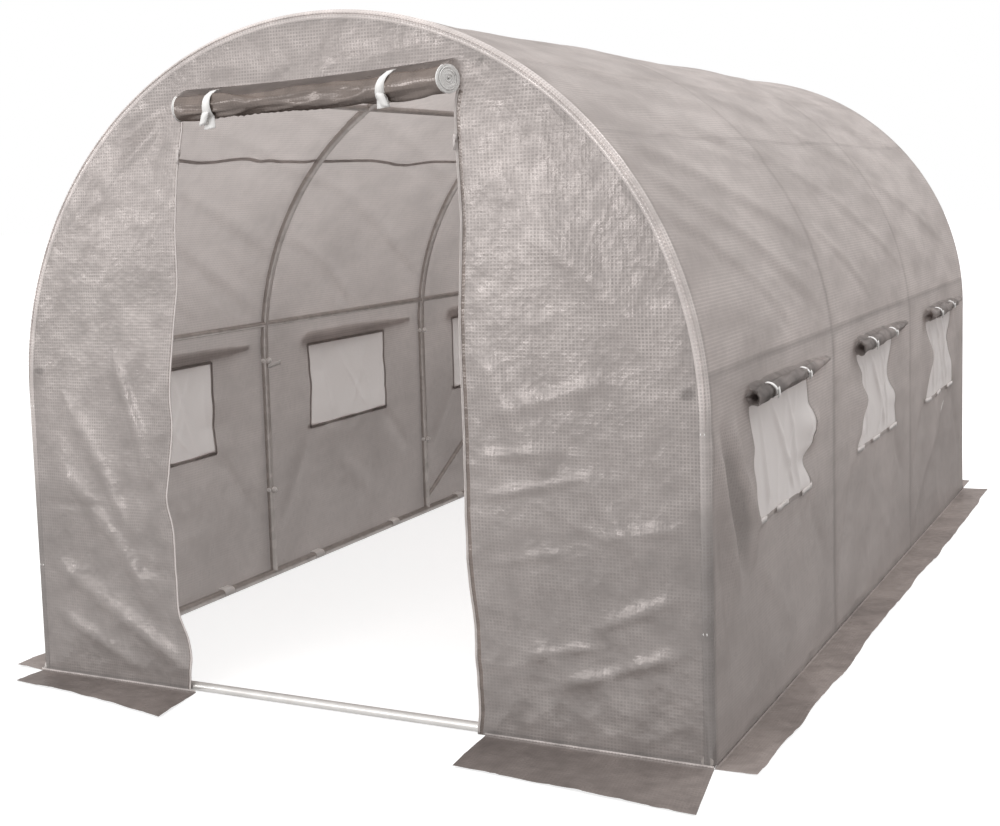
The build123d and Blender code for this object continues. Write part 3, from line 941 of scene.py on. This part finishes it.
class TUNNEL_OT_skirts(bpy.types.Operator):
    """Lays the ground flaps outside each wall"""

    bl_idname = "tunnel.skirts"
    bl_label = "Skirts"

    def execute(self, context):
        for k, (name, shares) in enumerate(SKIRT_SHARES.items()):
            node = "skirt_" + name
            seed = 300 + 10 * k
            low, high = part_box(node)
            across = 1 if name in ("left", "right") else 0
            side = -1 if low[1 - across] < -1.0 else 1
            inner, outer = (low, high)[::side]
            inner, deep = inner[1 - across], abs(outer[1 - across] - inner[1 - across])
            long = stepped([low[across], high[across]], 12 * MM)
            share = np.linspace(0, 1, 16)
            u, w = np.meshgrid(long, share, indexing="ij")
            part = (u - long[0]) / (long[-1] - long[0])
            depth = np.interp(part, (0, 0.5, 1), shares) * deep
            reach = depth + (5 * rolling(u, 0, 0.16, seed) + 6 * rolling(u, 0, 0.5, seed + 5)) * MM
            other = inner + side * w * reach
            if name == "front_right":
                u = u + w * (20 + 25 * part) * MM
            if name == "front_left":
                u = u - (1 - w) * 35 * part ** 3 * MM
            lift = 5 + 6 * rolling(u, w * depth, 0.20, seed + 1)
            lift = lift + 5 * creased(u, w * depth * 0.7, 0.09, seed + 2)
            lift = w * (1 - 0.5 * w) * lift + 2 * w * creased(u, w * depth, 0.04, seed + 3)
            lift = (1.5 + lift) * MM
            # The inner edge turns up the wall for its sewn hem
            rows = len(SKIRT_HEM)
            u = np.concatenate([np.repeat(u[:, :1], rows, 1), u], 1)
            hem_place = np.full((len(long), rows), inner + side * 1.5 * MM)
            other = np.concatenate([hem_place, other], 1)
            lift = np.concatenate([np.repeat(SKIRT_HEM[None], len(long), 0), lift], 1)
            z = np.maximum(lift, 0.8 * MM)
            points = placed(u, other, z) if across == 0 else placed(other, u, z)
            run = np.concatenate([-SKIRT_HEM, share * deep])
            faces = grid_faces(len(long), len(run))
            kinds = np.tile(np.arange(len(run) - 1) < rows - 1, len(long) - 1)
            if (side > 0) == (across == 0):
                faces = faces[:, ::-1]
            film = "woven_film_front_skirt" if "front" in name else "woven_film_skirt"
            edge = "woven_film_edge" if across == 0 else "woven_film_hem"
            piece = make_piece(node + "_film", (points, placed(long[:, None], run[None]), faces),
                               [film, edge], kinds)
            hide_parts(node)
        return {"FINISHED"}


# Finishes of the frame's nodes, by a word of their names
STEEL_WORDS = ("base_rail", "hoop", "side_rails", "upper_purlins", "brace")
FRAME_FINISHES = {
    "sill": "bright_sill_tube", "base_clips": "white_polypropylene",
    **dict.fromkeys(STEEL_WORDS, "galvanised_tube"),
}


class TUNNEL_OT_frame_finish(bpy.types.Operator):
    """Gives the steel frame, its sleeves and its clips their finishes"""

    bl_idname = "tunnel.frame_finish"
    bl_label = "Frame finish"

    def execute(self, context):
        for name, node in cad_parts.items():
            for word, kind in FRAME_FINISHES.items():
                if word in name:
                    node.data.materials.clear()
                    node.data.materials.append(finish(kind))
        return {"FINISHED"}


NET_LAP = 2 * MM
# Pleats of a net: start from the window's middle, lean and height in millimetres
NET_PLEATS = ((-0.20, 0.10, 6.0), (-0.08, 0.24, 8.0), (0.08, 0.12, 6.0), (0.18, -0.16, 5.0))


class TUNNEL_OT_nets(bpy.types.Operator):
    """Hangs a net behind each window"""

    bl_idname = "tunnel.nets"
    bl_label = "Window nets"

    def execute(self, context):
        step = 8 * MM
        wide = HALF_WINDOW + NET_LAP
        t = np.linspace(-1, 1, round(2 * wide / step))
        z = stepped([WINDOW_LOW - NET_LAP, WINDOW_HIGH + NET_LAP], step)
        t, z = np.meshgrid(t, z, indexing="ij")
        inside = np.minimum(z - WINDOW_LOW, WINDOW_HIGH - z)
        inside = np.clip(np.minimum(HALF_WINDOW - wide * np.abs(t), inside) / 0.05, 0, 1)
        for side, word in SIDES:
            for k, b in enumerate(BAYS):
                seed = 500 + 10 * k + (0 if side > 0 else 100)
                sway = [window_hang(z, k, end, side)[0] * (1 + end * t) / 2 for end in ENDS]
                y = b + wide * t + sway[0] + sway[1]
                puff = 4 * rolling(y, z, 0.12, seed) + 4 * creased(y, z * 0.4, 0.11, seed + 1)
                for start, lean, height in NET_PLEATS:
                    top, foot = (b + start, WINDOW_HIGH), (b + start + lean, WINDOW_LOW)
                    puff = puff + fold(y, z, top, foot, 0.010, height)
                x = side_reach(side, z, y) - 1.0 * MM + inside * np.clip(puff, -4, 10) * MM
                faces = grid_faces(*z.shape)
                if side < 0:
                    faces = faces[:, ::-1]
                shape = placed(side * x, y, z), placed(b + wide * t, z), faces
                piece = make_piece(f"window_net_{word}_{k + 1}", shape, ["window_netting"])
                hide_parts("window_nets_" + word)
        return {"FINISHED"}


# Rolls, ties and trimmings

def spiral(radius, turns, per_turn, end, wind, hub, crumple):
    """A sheet rolled from its core out: offsets from the roll's axis on two axes, and the turns.

    radius gives the roll's size at each place along it, hub its hollow core, end the angle at which
    the sheet leaves the roll and wind the way it turns. crumple(angle, share) adds to the size.
    """
    turn = np.linspace(0, turns * 2 * math.pi, round(turns * per_turn))
    share = (turn / turn[-1])[None]
    angle = end + wind * (turn - turn[-1])[None]
    hub = np.broadcast_to(hub, radius.shape)[:, None]
    size = hub + (radius[:, None] - hub) * share + crumple(angle, share)
    return np.cos(angle) * size, np.sin(angle) * size, turn


def crumpled(along, angle, stretch, girth, seed):
    """Pleats along a roll, the same on every turn of it."""
    u = along[:, None] * stretch + girth * np.cos(angle)
    v = girth * np.sin(angle)
    return 0.9 * rolling(u, v, 0.030, seed) + 1.3 * creased(u, v, 0.045, seed + 1) - 0.8


# Places of the ties along the door's roll, its size and the angle at which the sheet leaves it
DOOR_TIES = (-0.285, 0.222)
ROLL_SIZE = (ROLL_HIGH[2] - ROLL_LOW[2]) / 2
ROLL_Y = ROLL_LOW[1] + ROLL_SIZE
ROLL_END = math.radians(115)
# Radius of the zip's coil
ZIP_COIL = 1.7 * MM


def roll_middle(x):
    """Height of the door roll's axis: it sags a little and hangs lower at the left."""
    half = (ROLL_HIGH[0] - ROLL_LOW[0]) / 2
    along = (x - ROLL_LOW[0]) / half - 1
    return (ROLL_LOW[2] + ROLL_HIGH[2]) / 2 + (-10 + 13 * along - 7 * (1 - along ** 2)) * MM


class TUNNEL_OT_door_roll(bpy.types.Operator):
    """Rolls the door up under the arch, white zip tape at both of its ends"""

    bl_idname = "tunnel.door_roll"
    bl_label = "Door roll"

    def execute(self, context):
        tape = 5 * MM
        x = stepped([ROLL_LOW[0], ROLL_LOW[0] + tape, ROLL_HIGH[0] - tape, ROLL_HIGH[0]], 7 * MM)
        middle = roll_middle(x)
        pinch = sum(near(x, place, 0.030) for place in DOOR_TIES)
        radius = ROLL_SIZE * (0.95 - 0.12 * pinch + 0.07 * rolling(x, 0, 0.13, 71))

        def crumple(angle, share):
            loose = np.clip(np.minimum(x - x[0], x[-1] - x) / 0.05, 0, 1)[:, None]
            return loose * share ** 2 * 5.5 * MM * crumpled(x, angle, 0.34, 0.055, 72)

        out, up, turn = spiral(radius, sizes().door_turns, 38, ROLL_END, -1, 2 * MM, crumple)
        # The right-hand end is rolled askew, so that its coil faces forward
        askew = 0.40 * out * np.clip(1 - (x[-1] - x) / 0.06, 0, 1)[:, None]
        rolled = placed(x[:, None] + askew, ROLL_Y + out, middle[:, None] + up)
        # The sheet leaves the top of the roll and climbs to the seam over the door
        last = rolled[:, -1]
        climb = []
        for s in np.linspace(0, 1, 9)[1:]:
            y = last[:, 1] * (1 - s) + (WALL_FACE - 2.5 * MM) * s
            z = last[:, 2] * (1 - s) + (middle + 50 * MM) * s
            z = z + 3 * MM * math.sin(math.pi * s) * rolling(x, s * 0.02, 0.06, 77)
            climb.append(placed(x, y, z))
        points = np.concatenate([rolled, np.stack(climb, 1)], 1)
        steps = np.linalg.norm(np.diff(points, axis=1), axis=2).mean(0)
        flat = placed(x[:, None], np.concatenate([[0], np.cumsum(steps)])[None])
        mid = middles(x)
        kinds = np.zeros((len(mid), len(steps)), int)
        kinds[np.minimum(mid - x[0], x[-1] - mid) < tape] = 1
        kinds[:, rolled.shape[1] - 1:] = 2
        piece = make_piece("door_roll_film", (points, flat, grid_faces(*points.shape[:2])),
                           ["woven_film_door_roll", "white_tape", "woven_film_hem"],
                           kinds)
        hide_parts("door_roll")
        # The zip's tape shows at each end as a white coil
        coils = []
        for k in (0, -1):
            wobble = 1.5 * MM * rolling(turn, 0, 2.5, 75 + k)
            line = placed(x[k] + askew[k] + wobble, ROLL_Y + out[k], middle[k] + up[k])
            coils.append(tube_along(line[12:], ZIP_COIL, 6))
        make_piece("door_roll_ends", joined(coils), ["white_tape"])
        return {"FINISHED"}


class TUNNEL_OT_door_ties(bpy.types.Operator):
    """Ties the door roll up with white tape, tails hanging"""

    bl_idname = "tunnel.door_ties"
    bl_label = "Door ties"

    def execute(self, context):
        width = sizes().tape_width
        reach = ROLL_SIZE * 0.86 + 3 * MM
        parts = []
        for k, x in enumerate(DOOR_TIES):
            middle = roll_middle(x)
            over = np.radians(np.linspace(118, 236, 16))
            front = placed(0, ROLL_Y + reach * np.cos(over), middle + reach * np.sin(over))
            top = [(0, ROLL_Y + 20 * MM, middle + 42 * MM), (0, ROLL_Y + 6 * MM, middle + 40 * MM)]
            fall = np.linspace(0.2, 1, 7)
            drop = (30 if k == 0 else 22) * MM
            tail = placed(0, front[-1, 1] - 3 * MM * fall, front[-1, 2] - drop * fall)
            line = np.vstack([top, front, tail])
            share = np.linspace(0, 1, len(line))
            bow = (3 * share, 12 * (1 - share) - 9 * np.sin(math.pi * share) + 4 * share)[k]
            line[:, 0] = x + bow * MM
            wide = width * (0.80 + 0.70 * share ** 1.5)
            parts.append(ribbon(line, (1.0, 0.0, 0.10), wide, 1.6 * MM))
            # The other end comes up behind the roll and falls across the first
            back = np.radians(np.linspace(400, 205, 20))
            ring = placed(x + 2 * MM * np.cos(back), ROLL_Y + reach * np.cos(back) * 0.99,
                          middle + reach * np.sin(back) * 0.99)
            ring[:, 1] = np.minimum(ring[:, 1], WALL_FACE - 2 * MM)
            slant = np.linspace(0, 1, 6)[1:]
            side = -1 if k == 0 else 1
            end = placed(x + side * 13 * MM * slant, ring[-1, 1] - 4 * MM + 3 * MM * slant,
                         ring[-1, 2] - 34 * MM * slant)
            lean = (1.0, 0.0, -0.15 * side)
            parts.append(ribbon(np.vstack([ring, end]), lean, width * 0.90, 1.4 * MM))
        piece = make_piece("door_ties_tape", joined(parts), ["white_tape"])
        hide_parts("door_ties")
        return {"FINISHED"}


class TUNNEL_OT_zips(bpy.types.Operator):
    """Runs the white zips down both edges of the doorway"""

    bl_idname = "tunnel.zips"
    bl_label = "Door zips"

    def execute(self, context):
        level = (1.0, 0.0, 0.0)
        for side, word in SIDES:
            z = np.linspace(2 * MM, DOOR_TOP + 2 * MM, 150)
            edge = side * HALF_DOOR + 0 * z
            x = edge + front_sway(edge, z)
            y = WALL_FACE - front_rise(edge, z) - 1.5 * MM
            line = placed(x, y, z)
            coil = tube_along(line, ZIP_COIL, 8)
            tape = ribbon(line + np.array((side * 2.5, 0.6, 0)) * MM, level, 4 * MM, 1.2 * MM)
            # The slider and its pull, parked at the top
            at = line[-12]
            slide = tube_along(at + np.array([(0, -3, -9), (0, -4, 0), (0, -3, 9)]) * MM,
                               np.array([3.0, 6.0, 3.5]) * MM, 8)
            pull = ribbon(at + np.array([(0, -8, 0), (0, -10, -14), (0, -8, -30)]) * MM, level,
                          6 * MM, 1.6 * MM)
            piece = make_piece("zip_" + word, joined([coil, tape, slide, pull]), ["worn_tape"])
            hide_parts("door_zip_" + word)
        return {"FINISHED"}


# A window's roll in the frame: half its thickness, its height and its ends from the bay's middle
FLAP_SIZE = (FLAP_HIGH[2] - FLAP_LOW[2]) / 2
FLAP_Z = (FLAP_HIGH[2] + FLAP_LOW[2]) / 2
FLAP_FRONT = FLAP_LOW[1] - BAYS[0]
FLAP_BACK = FLAP_HIGH[1] - BAYS[2]


def flap_roll(y, bay, side):
    """Size of a window's roll, its axis out from the middle and up, and the wall, along it."""
    t = (y - bay - FLAP_FRONT) / (FLAP_BACK - FLAP_FRONT)
    size = FLAP_SIZE * (1.05 * (1 - t ** 2.4) + 0.20 * t)
    level = FLAP_Z + (12 + 6 * t) * MM
    wall = side_reach(side, level, y)
    return size, wall + 2 * MM + 0.92 * size, level, wall


def window_tie_places(bay):
    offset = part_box("window_ties_right")[1][1] - sizes().tape_width / 2 - BAYS[2]
    return bay - offset, bay + offset


class TUNNEL_OT_window_rolls(bpy.types.Operator):
    """Rolls each window's flap up over it, full at the front and tapering to the back"""

    bl_idname = "tunnel.window_rolls"
    bl_label = "Window rolls"

    def execute(self, context):
        for side, word in SIDES:
            for k, b in enumerate(BAYS):
                seed = 600 + 10 * k + (0 if side > 0 else 200)
                y = stepped([b + FLAP_FRONT, b + FLAP_BACK], 7 * MM)
                size, axis, level, wall = flap_roll(y, b, side)
                pinch = sum(near(y, place, 0.024) for place in window_tie_places(b))
                radius = size * (1 - 0.18 * pinch) * (1 + 0.08 * rolling(y, 0, 0.08, seed))
                thin = (size / FLAP_SIZE)[:, None]

                def crumple(angle, share):
                    return share * thin * 4.0 * MM * crumpled(y, angle, 0.30, 0.045, seed + 1)

                hub = 10 * MM * size / size.max()
                out, up, turn = spiral(radius, 2.8, 32, math.radians(112), 1, hub, crumple)
                out = np.maximum(axis[:, None] + out * 0.95, wall[:, None] + 1.5 * MM)
                ragged = 8 * MM * rolling(turn, 0, 2.5, seed + 3)[None]
                ragged = ragged * np.clip((0.04 - np.abs(y - y[0])) / 0.04, 0, 1)[:, None]
                points = placed(side * out, y[:, None] + ragged, level[:, None] + up * 0.94)
                # The sheet climbs back to the wall, from a little way along the roll
                last = points[:, -1]
                goal = placed(side * (wall + 1.5 * MM), y, level + radius * 0.95 + 5 * MM)
                climb = []
                for s in (0.25, 0.5, 0.75, 1.0):
                    part = s * np.clip((y - y[0]) / 0.05, 0.05, 1)[:, None]
                    climb.append(last * (1 - part) + goal * part)
                    climb[-1][:, 1] = y
                points = np.concatenate([points, np.stack(climb, 1)], 1)
                steps = np.linalg.norm(np.diff(points, axis=1), axis=2)
                run = np.concatenate([np.zeros((len(y), 1)), np.cumsum(steps, 1)], 1)
                shape = points, placed(y[:, None], run), grid_faces(*run.shape)
                piece = make_piece(f"window_flap_{word}_{k + 1}", shape, ["woven_film_window_roll"])
                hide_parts("window_rolls_" + word)
        return {"FINISHED"}


# Closing tabs under a window: places along its foot as shares, half length and width
TAB_SHARES = (0.06, 0.46, 0.90)
TAB_HALF, TAB_WIDTH = 62 * MM, 15 * MM
TAPE_THICK = 1.2 * MM


class TUNNEL_OT_window_ties(bpy.types.Operator):
    """Ties each window roll with white tape and sews the white closing tabs under each window"""

    bl_idname = "tunnel.window_ties"
    bl_label = "Window ties"

    def execute(self, context):
        width = sizes().tape_width
        for side, word in SIDES:
            ties, tabs = [], []
            for k, b in enumerate(BAYS):
                for place in window_tie_places(b):
                    angle = np.radians(np.linspace(110, -170, 26))
                    size, axis, level, wall = flap_roll(place + 0 * angle, b, side)
                    reach = size * 0.80 + 1.0 * MM
                    x = np.maximum(axis + reach * 0.95 * np.cos(angle), wall + 1.2 * MM)
                    line = placed(side * x, place - 16 * MM * np.sin(angle),
                                  level + reach * np.sin(angle))
                    ties.append(ribbon(line, (0.0, 1.0, 0.1), width * 0.6, TAPE_THICK))
                    s = np.linspace(0, 1, 9)
                    x = axis[0] + reach[0] * (0.94 - 0.30 * s ** 2) + 2.5 * MM
                    tail = placed(side * x, place + (4 + 26 * s) * MM,
                                  level[0] + reach[0] * (0.3 - 1.3 * s))
                    ties.append(ribbon(tail, (0.05, 0.95, 0.3), width * (0.6 + 0.2 * s), TAPE_THICK))
                front, back = (
                    b + end * HALF_WINDOW + window_hang(np.array(WINDOW_LOW), k, end, side)[0]
                    for end in ENDS)
                for j, share in enumerate(TAB_SHARES):
                    s = np.linspace(-1, 1, 9)
                    y = front + (back - front) * share + TAB_HALF * s
                    z = WINDOW_LOW - 2 * MM + (0.03 * j - 0.05) * TAB_HALF * s - 2 * MM * s * s
                    x = side_reach(side, z, y) + (4 + 2 * np.cos(2 * s + j)) * MM
                    line = placed(side * x, y, z)
                    tabs.append(ribbon(line, (0.0, 0.0, 1.0), TAB_WIDTH, TAPE_THICK))
            piece = make_piece("window_ties_tape_" + word, joined(ties), ["white_tape"])
            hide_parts("window_ties_" + word)
            make_piece("window_tabs_" + word, joined(tabs), ["worn_tape"])
        return {"FINISHED"}


# Distance from a window's edge to its hem's middle, and the hem's width
HEM_PLACE, HEM_WIDTH = 8 * MM, 10 * MM


class TUNNEL_OT_hems(bpy.types.Operator):
    """Sews the doubled hems round the windows and the hanging lips of the roof seams"""

    bl_idname = "tunnel.hems"
    bl_label = "Hems and seams"

    def execute(self, context):
        heights = (WINDOW_LOW - HEM_PLACE, WINDOW_HIGH + HEM_PLACE)
        for side, word in SIDES:
            parts = []
            for k, b in enumerate(BAYS):
                corners = []
                for end in ENDS:
                    z = np.linspace(*heights, 60)
                    y = b + end * (HALF_WINDOW + HEM_PLACE) + window_hang(z, k, end, side)[0]
                    corners.append((y[0], y[-1]))
                    parts.append(self.strip(side, y, z, (0.0, 1.0, 0.0)))
                for z, front, back in zip(heights, *corners):
                    y = np.linspace(front, back, 70)
                    parts.append(self.strip(side, y, z + 0 * y, (0.0, 0.0, 1.0)))
            make_piece("window_hems_" + word, joined(parts), ["woven_film_hem"])
            y = np.linspace(HOOPS[0] + 14 * MM, HOOPS[3] - 14 * MM, 300)
            hang = hoop_share(y)
            wander = 12 * rolling(y, 0, 0.21, 90 + side) + 6 * rolling(y, 0, 0.08, 93 + side)
            turn = SEAM_TURN + (1 - hang ** 4) * wander * MM / COVER_REACH
            reach = COVER_REACH + cover_rise(AROUND / 2 + side * turn * COVER_REACH, y)
            reach = reach - (3.2 + 1.5 * hang) * MM
            line = placed(side * np.sin(turn) * reach, y, SPRING + np.cos(turn) * reach)
            across = placed(side * np.cos(turn), 0, -np.sin(turn))
            make_piece("roof_seam_" + word, ribbon(line, across, 11 * MM, 1.4 * MM),
                       ["woven_film_hem"])
        return {"FINISHED"}

    @staticmethod
    def strip(side, y, z, across):
        """A hem laid along the inside of the cover."""
        x = side_reach(side, z, y) - 2.2 * MM
        return ribbon(placed(side * x, y, z), across, HEM_WIDTH, 0.8 * MM)


# Heights of the bolt caps on a leg, and the outlines of a cap and its bolt: reach and radius
CAP_HEIGHTS = (0.315, SPRING - 24 * MM)
CAP_REACH, CAP_RADIUS = np.array([(-2, 2, 7, 11, 14, 15), (10, 10.5, 10, 8, 4.5, 1)]) * MM
BOLT_REACH, BOLT_RADIUS = np.array([(-15.5, -13, 13, 15.5), (5, 8, 8, 5)]) * MM


class TUNNEL_OT_fixings(bpy.types.Operator):
    """Puts the white bolt caps on the hoops' legs and ties a white tape at the second hoop"""

    bl_idname = "tunnel.fixings"
    bl_label = "Fixings"

    def execute(self, context):
        for side, word in SIDES:
            parts = []
            inner = side * (HOOP_AXIS - HOOP_TUBE / 2)
            for y in HOOPS:
                for z in CAP_HEIGHTS:
                    parts.append(tube_along(placed(inner - side * CAP_REACH, y, z), CAP_RADIUS, 14))
                    line = placed(side * HOOP_AXIS, y + BOLT_REACH, z)
                    parts.append(tube_along(line, BOLT_RADIUS, 12))
            make_piece("bolt_caps_" + word, joined(parts), ["white_polypropylene"])
            run = np.linspace(0, 1, 12)
            line = placed(inner - side * (3 + 2 * np.sin(5 * run)) * MM,
                          HOOPS[1] + (-6 + 84 * run) * MM, SPRING - (44 - 6 * run) * MM)
            make_piece("hoop_tape_" + word, ribbon(line, (0.0, 0.1, 1.0), 15 * MM, 1.4 * MM),
                       ["white_tape"])
        return {"FINISHED"}


class TUNNEL_OT_piping(bpy.types.Operator):
    """Sews the stitched piping round both ends of the cover"""

    bl_idname = "tunnel.piping"
    bl_label = "Piping"

    def execute(self, context):
        stitch = 12 * MM
        s = np.arange(SPRING - 20 * MM, AROUND - SPRING + 20 * MM, stitch / 4)
        lean = math.radians(66)
        off = BEAD + 0.6 * MM
        x, z = cover_point(s, HOOP_AXIS + off * math.cos(lean))
        size = (2.0 + 0.9 * np.abs(np.sin(math.pi * s / stitch))) * MM
        size = size * np.clip(np.minimum(s - s[0], s[-1] - s) / 0.15, 0.1, 1)
        for side, word in ((-1, "front"), (1, "back")):
            line = placed(x, side * (END_HOOP + off * math.sin(lean)), z)
            make_piece("rim_piping_" + word, tube_along(line, size, 6), ["woven_film_rim"])
        return {"FINISHED"}


# Camera place in metres, and its right, up and back directions
CAMERA_PLACE = (2.04056, -5.14818, 1.32703)
CAMERA_AXES = (
    (0.879068, 0.475434, -0.034660), (-0.021031, 0.111318, 0.993562),
    (0.476232, -0.872680, 0.107855),
)
# Softboxes: name, place, aim, size in metres, power in watts
SOFTBOXES = (
    ("front_softbox", (-1.0, -5.6, 4.0), (0.2, -1.8, 1.2), (2.0, 1.2), 34.0),
    ("door_softbox", (-1.35, -5.9, 1.45), (0.6, -1.8, 1.0), (1.2, 0.9), 40.0),
    ("left_softbox", (-3.7, -5.3, 1.5), (-0.7, -1.8, 0.5), (0.9, 0.9), 30.0),
    ("roof_softbox", (3.2, 2.6, 5.6), (0.4, 0.0, 1.2), (1.8, 1.8), 90.0),
)


def stage_object(name, data, place, axes):
    """An object of the stage at a place, turned to its right, up and back directions."""
    thing = bpy.data.objects.new(name, data)
    turn = Matrix(np.stack(axes, 1).tolist()).to_4x4()
    thing.matrix_world = Matrix.Translation(place) @ turn
    bpy.context.scene.collection.objects.link(thing)
    return thing


class TUNNEL_OT_stage(bpy.types.Operator):
    """Sets the pale floor, the soft light and the camera"""

    bl_idname = "tunnel.stage"
    bl_label = "Stage"

    def execute(self, context):
        scene = context.scene
        scene.view_settings.view_transform = "Standard"
        self.lay_floor()
        self.light_dome(scene)
        for name, place, aim, size, power in SOFTBOXES:
            lamp = bpy.data.lights.new(name, "AREA")
            lamp.shape = "RECTANGLE"
            lamp.size, lamp.size_y = size
            lamp.energy = power
            away = np.subtract(place, aim)
            away = away / np.linalg.norm(away)
            right = np.cross((0, 0, 1), away)
            right = right / np.linalg.norm(right)
            axes = (right, np.cross(away, right), away)
            stage_object(name, lamp, place, axes).visible_camera = False
        data = bpy.data.cameras.new("photo_camera")
        data.sensor_fit = "HORIZONTAL"
        data.sensor_width = 36.0
        data.lens = 55.9216
        data.shift_x, data.shift_y = 0.101, -0.046
        data.clip_end = 200.0
        scene.camera = stage_object("photo_camera", data, CAMERA_PLACE, CAMERA_AXES)
        return {"FINISHED"}

    @staticmethod
    def seen(tree):
        """The light path, and 1 where a ray comes from the eye or a glossy surface."""
        path = add(tree, "LightPath").outputs
        return path, calc(tree, "MAXIMUM", path["Is Camera Ray"], path["Is Glossy Ray"])

    def lay_floor(self):
        """White to the eye with the soft shadow kept, a plain grey ground to the light."""
        material, tree = new_material("studio_floor")
        path, seen = self.seen(tree)
        clear = calc(tree, "SUBTRACT", path["Is Transmission Ray"], path["Is Diffuse Ray"],
                     use_clamp=True)
        seen = calc(tree, "MAXIMUM", seen, clear)
        ground = shader(tree, "BsdfDiffuse", Color=linear("#5c5856"))
        white = shader(tree, "Emission", Color=(1, 1, 1, 1), Strength=0.74)
        paper = shader(tree, "BsdfDiffuse", Color=linear("#b0b0b0"))
        lit = add(tree, "AddShader", [(0, white), (1, paper)]).outputs[0]
        far = 60.0
        mesh = bpy.data.meshes.new("floor")
        corners = [(-far, -far, 0), (far, -far, 0), (far, far, 0), (-far, far, 0)]
        mesh.from_pydata(corners, [], [(0, 1, 2, 3)])
        mesh.materials.append(surfaced(material, blended(tree, seen, ground, lit)))
        stage_object("floor", mesh, (0, 0, 0), np.eye(3))

    def light_dome(self, scene):
        """An even pale sky, white to the eye."""
        scene.world = bpy.data.worlds.new("studio_dome")
        scene.world.use_nodes = True
        tree = scene.world.node_tree
        tree.nodes.clear()
        _, seen = self.seen(tree)
        facing = add(tree, "TexCoord").outputs["Generated"]
        up = add(tree, "SeparateXYZ", [(0, facing)]).outputs["Z"]
        sky = spread(tree, up, 0.0, 0.9, 0.46, 1.72)
        dome = shader(tree, "Background", Color=linear("#f8f7f6"), Strength=sky)
        white = shader(tree, "Background", Color=(1, 1, 1, 1), Strength=1.0)
        add(tree, "OutputWorld", [("Surface", blended(tree, seen, dome, white))])


class TUNNEL_PT_panel(bpy.types.Panel):
    """Sizes, colours and the steps that build the tunnel"""

    bl_label = "Tunnel greenhouse"
    bl_idname = "TUNNEL_PT_panel"
    bl_space_type = "VIEW_3D"
    bl_region_type = "UI"
    bl_category = "Tunnel"

    def draw(self, context):
        layout = self.layout
        for group in (context.scene.tunnel_sizes, context.scene.tunnel_colours):
            for key in group.__annotations__:
                layout.prop(group, key)
        for step in STEPS:
            layout.operator(step.bl_idname)


STEPS = (
    TUNNEL_OT_stage, TUNNEL_OT_frame_finish, TUNNEL_OT_cover, TUNNEL_OT_front_wall,
    TUNNEL_OT_back_wall, TUNNEL_OT_skirts, TUNNEL_OT_nets, TUNNEL_OT_door_roll, TUNNEL_OT_door_ties,
    TUNNEL_OT_zips, TUNNEL_OT_window_rolls, TUNNEL_OT_window_ties, TUNNEL_OT_hems, TUNNEL_OT_piping,
    TUNNEL_OT_fixings,
)
CLASSES = (TunnelSizes, TunnelColours, *STEPS, TUNNEL_PT_panel)


def register():
    for c in CLASSES:
        bpy.utils.register_class(c)
    bpy.types.Scene.tunnel_sizes = PointerProperty(type=TunnelSizes)
    bpy.types.Scene.tunnel_colours = PointerProperty(type=TunnelColours)


def unregister():
    del bpy.types.Scene.tunnel_colours
    del bpy.types.Scene.tunnel_sizes
    for c in reversed(CLASSES):
        bpy.utils.unregister_class(c)


def main():
    register()
    for step in STEPS:
        group, name = step.bl_idname.split(".")
        getattr(getattr(bpy.ops, group), name)()


if __name__ == "__main__":
    main()
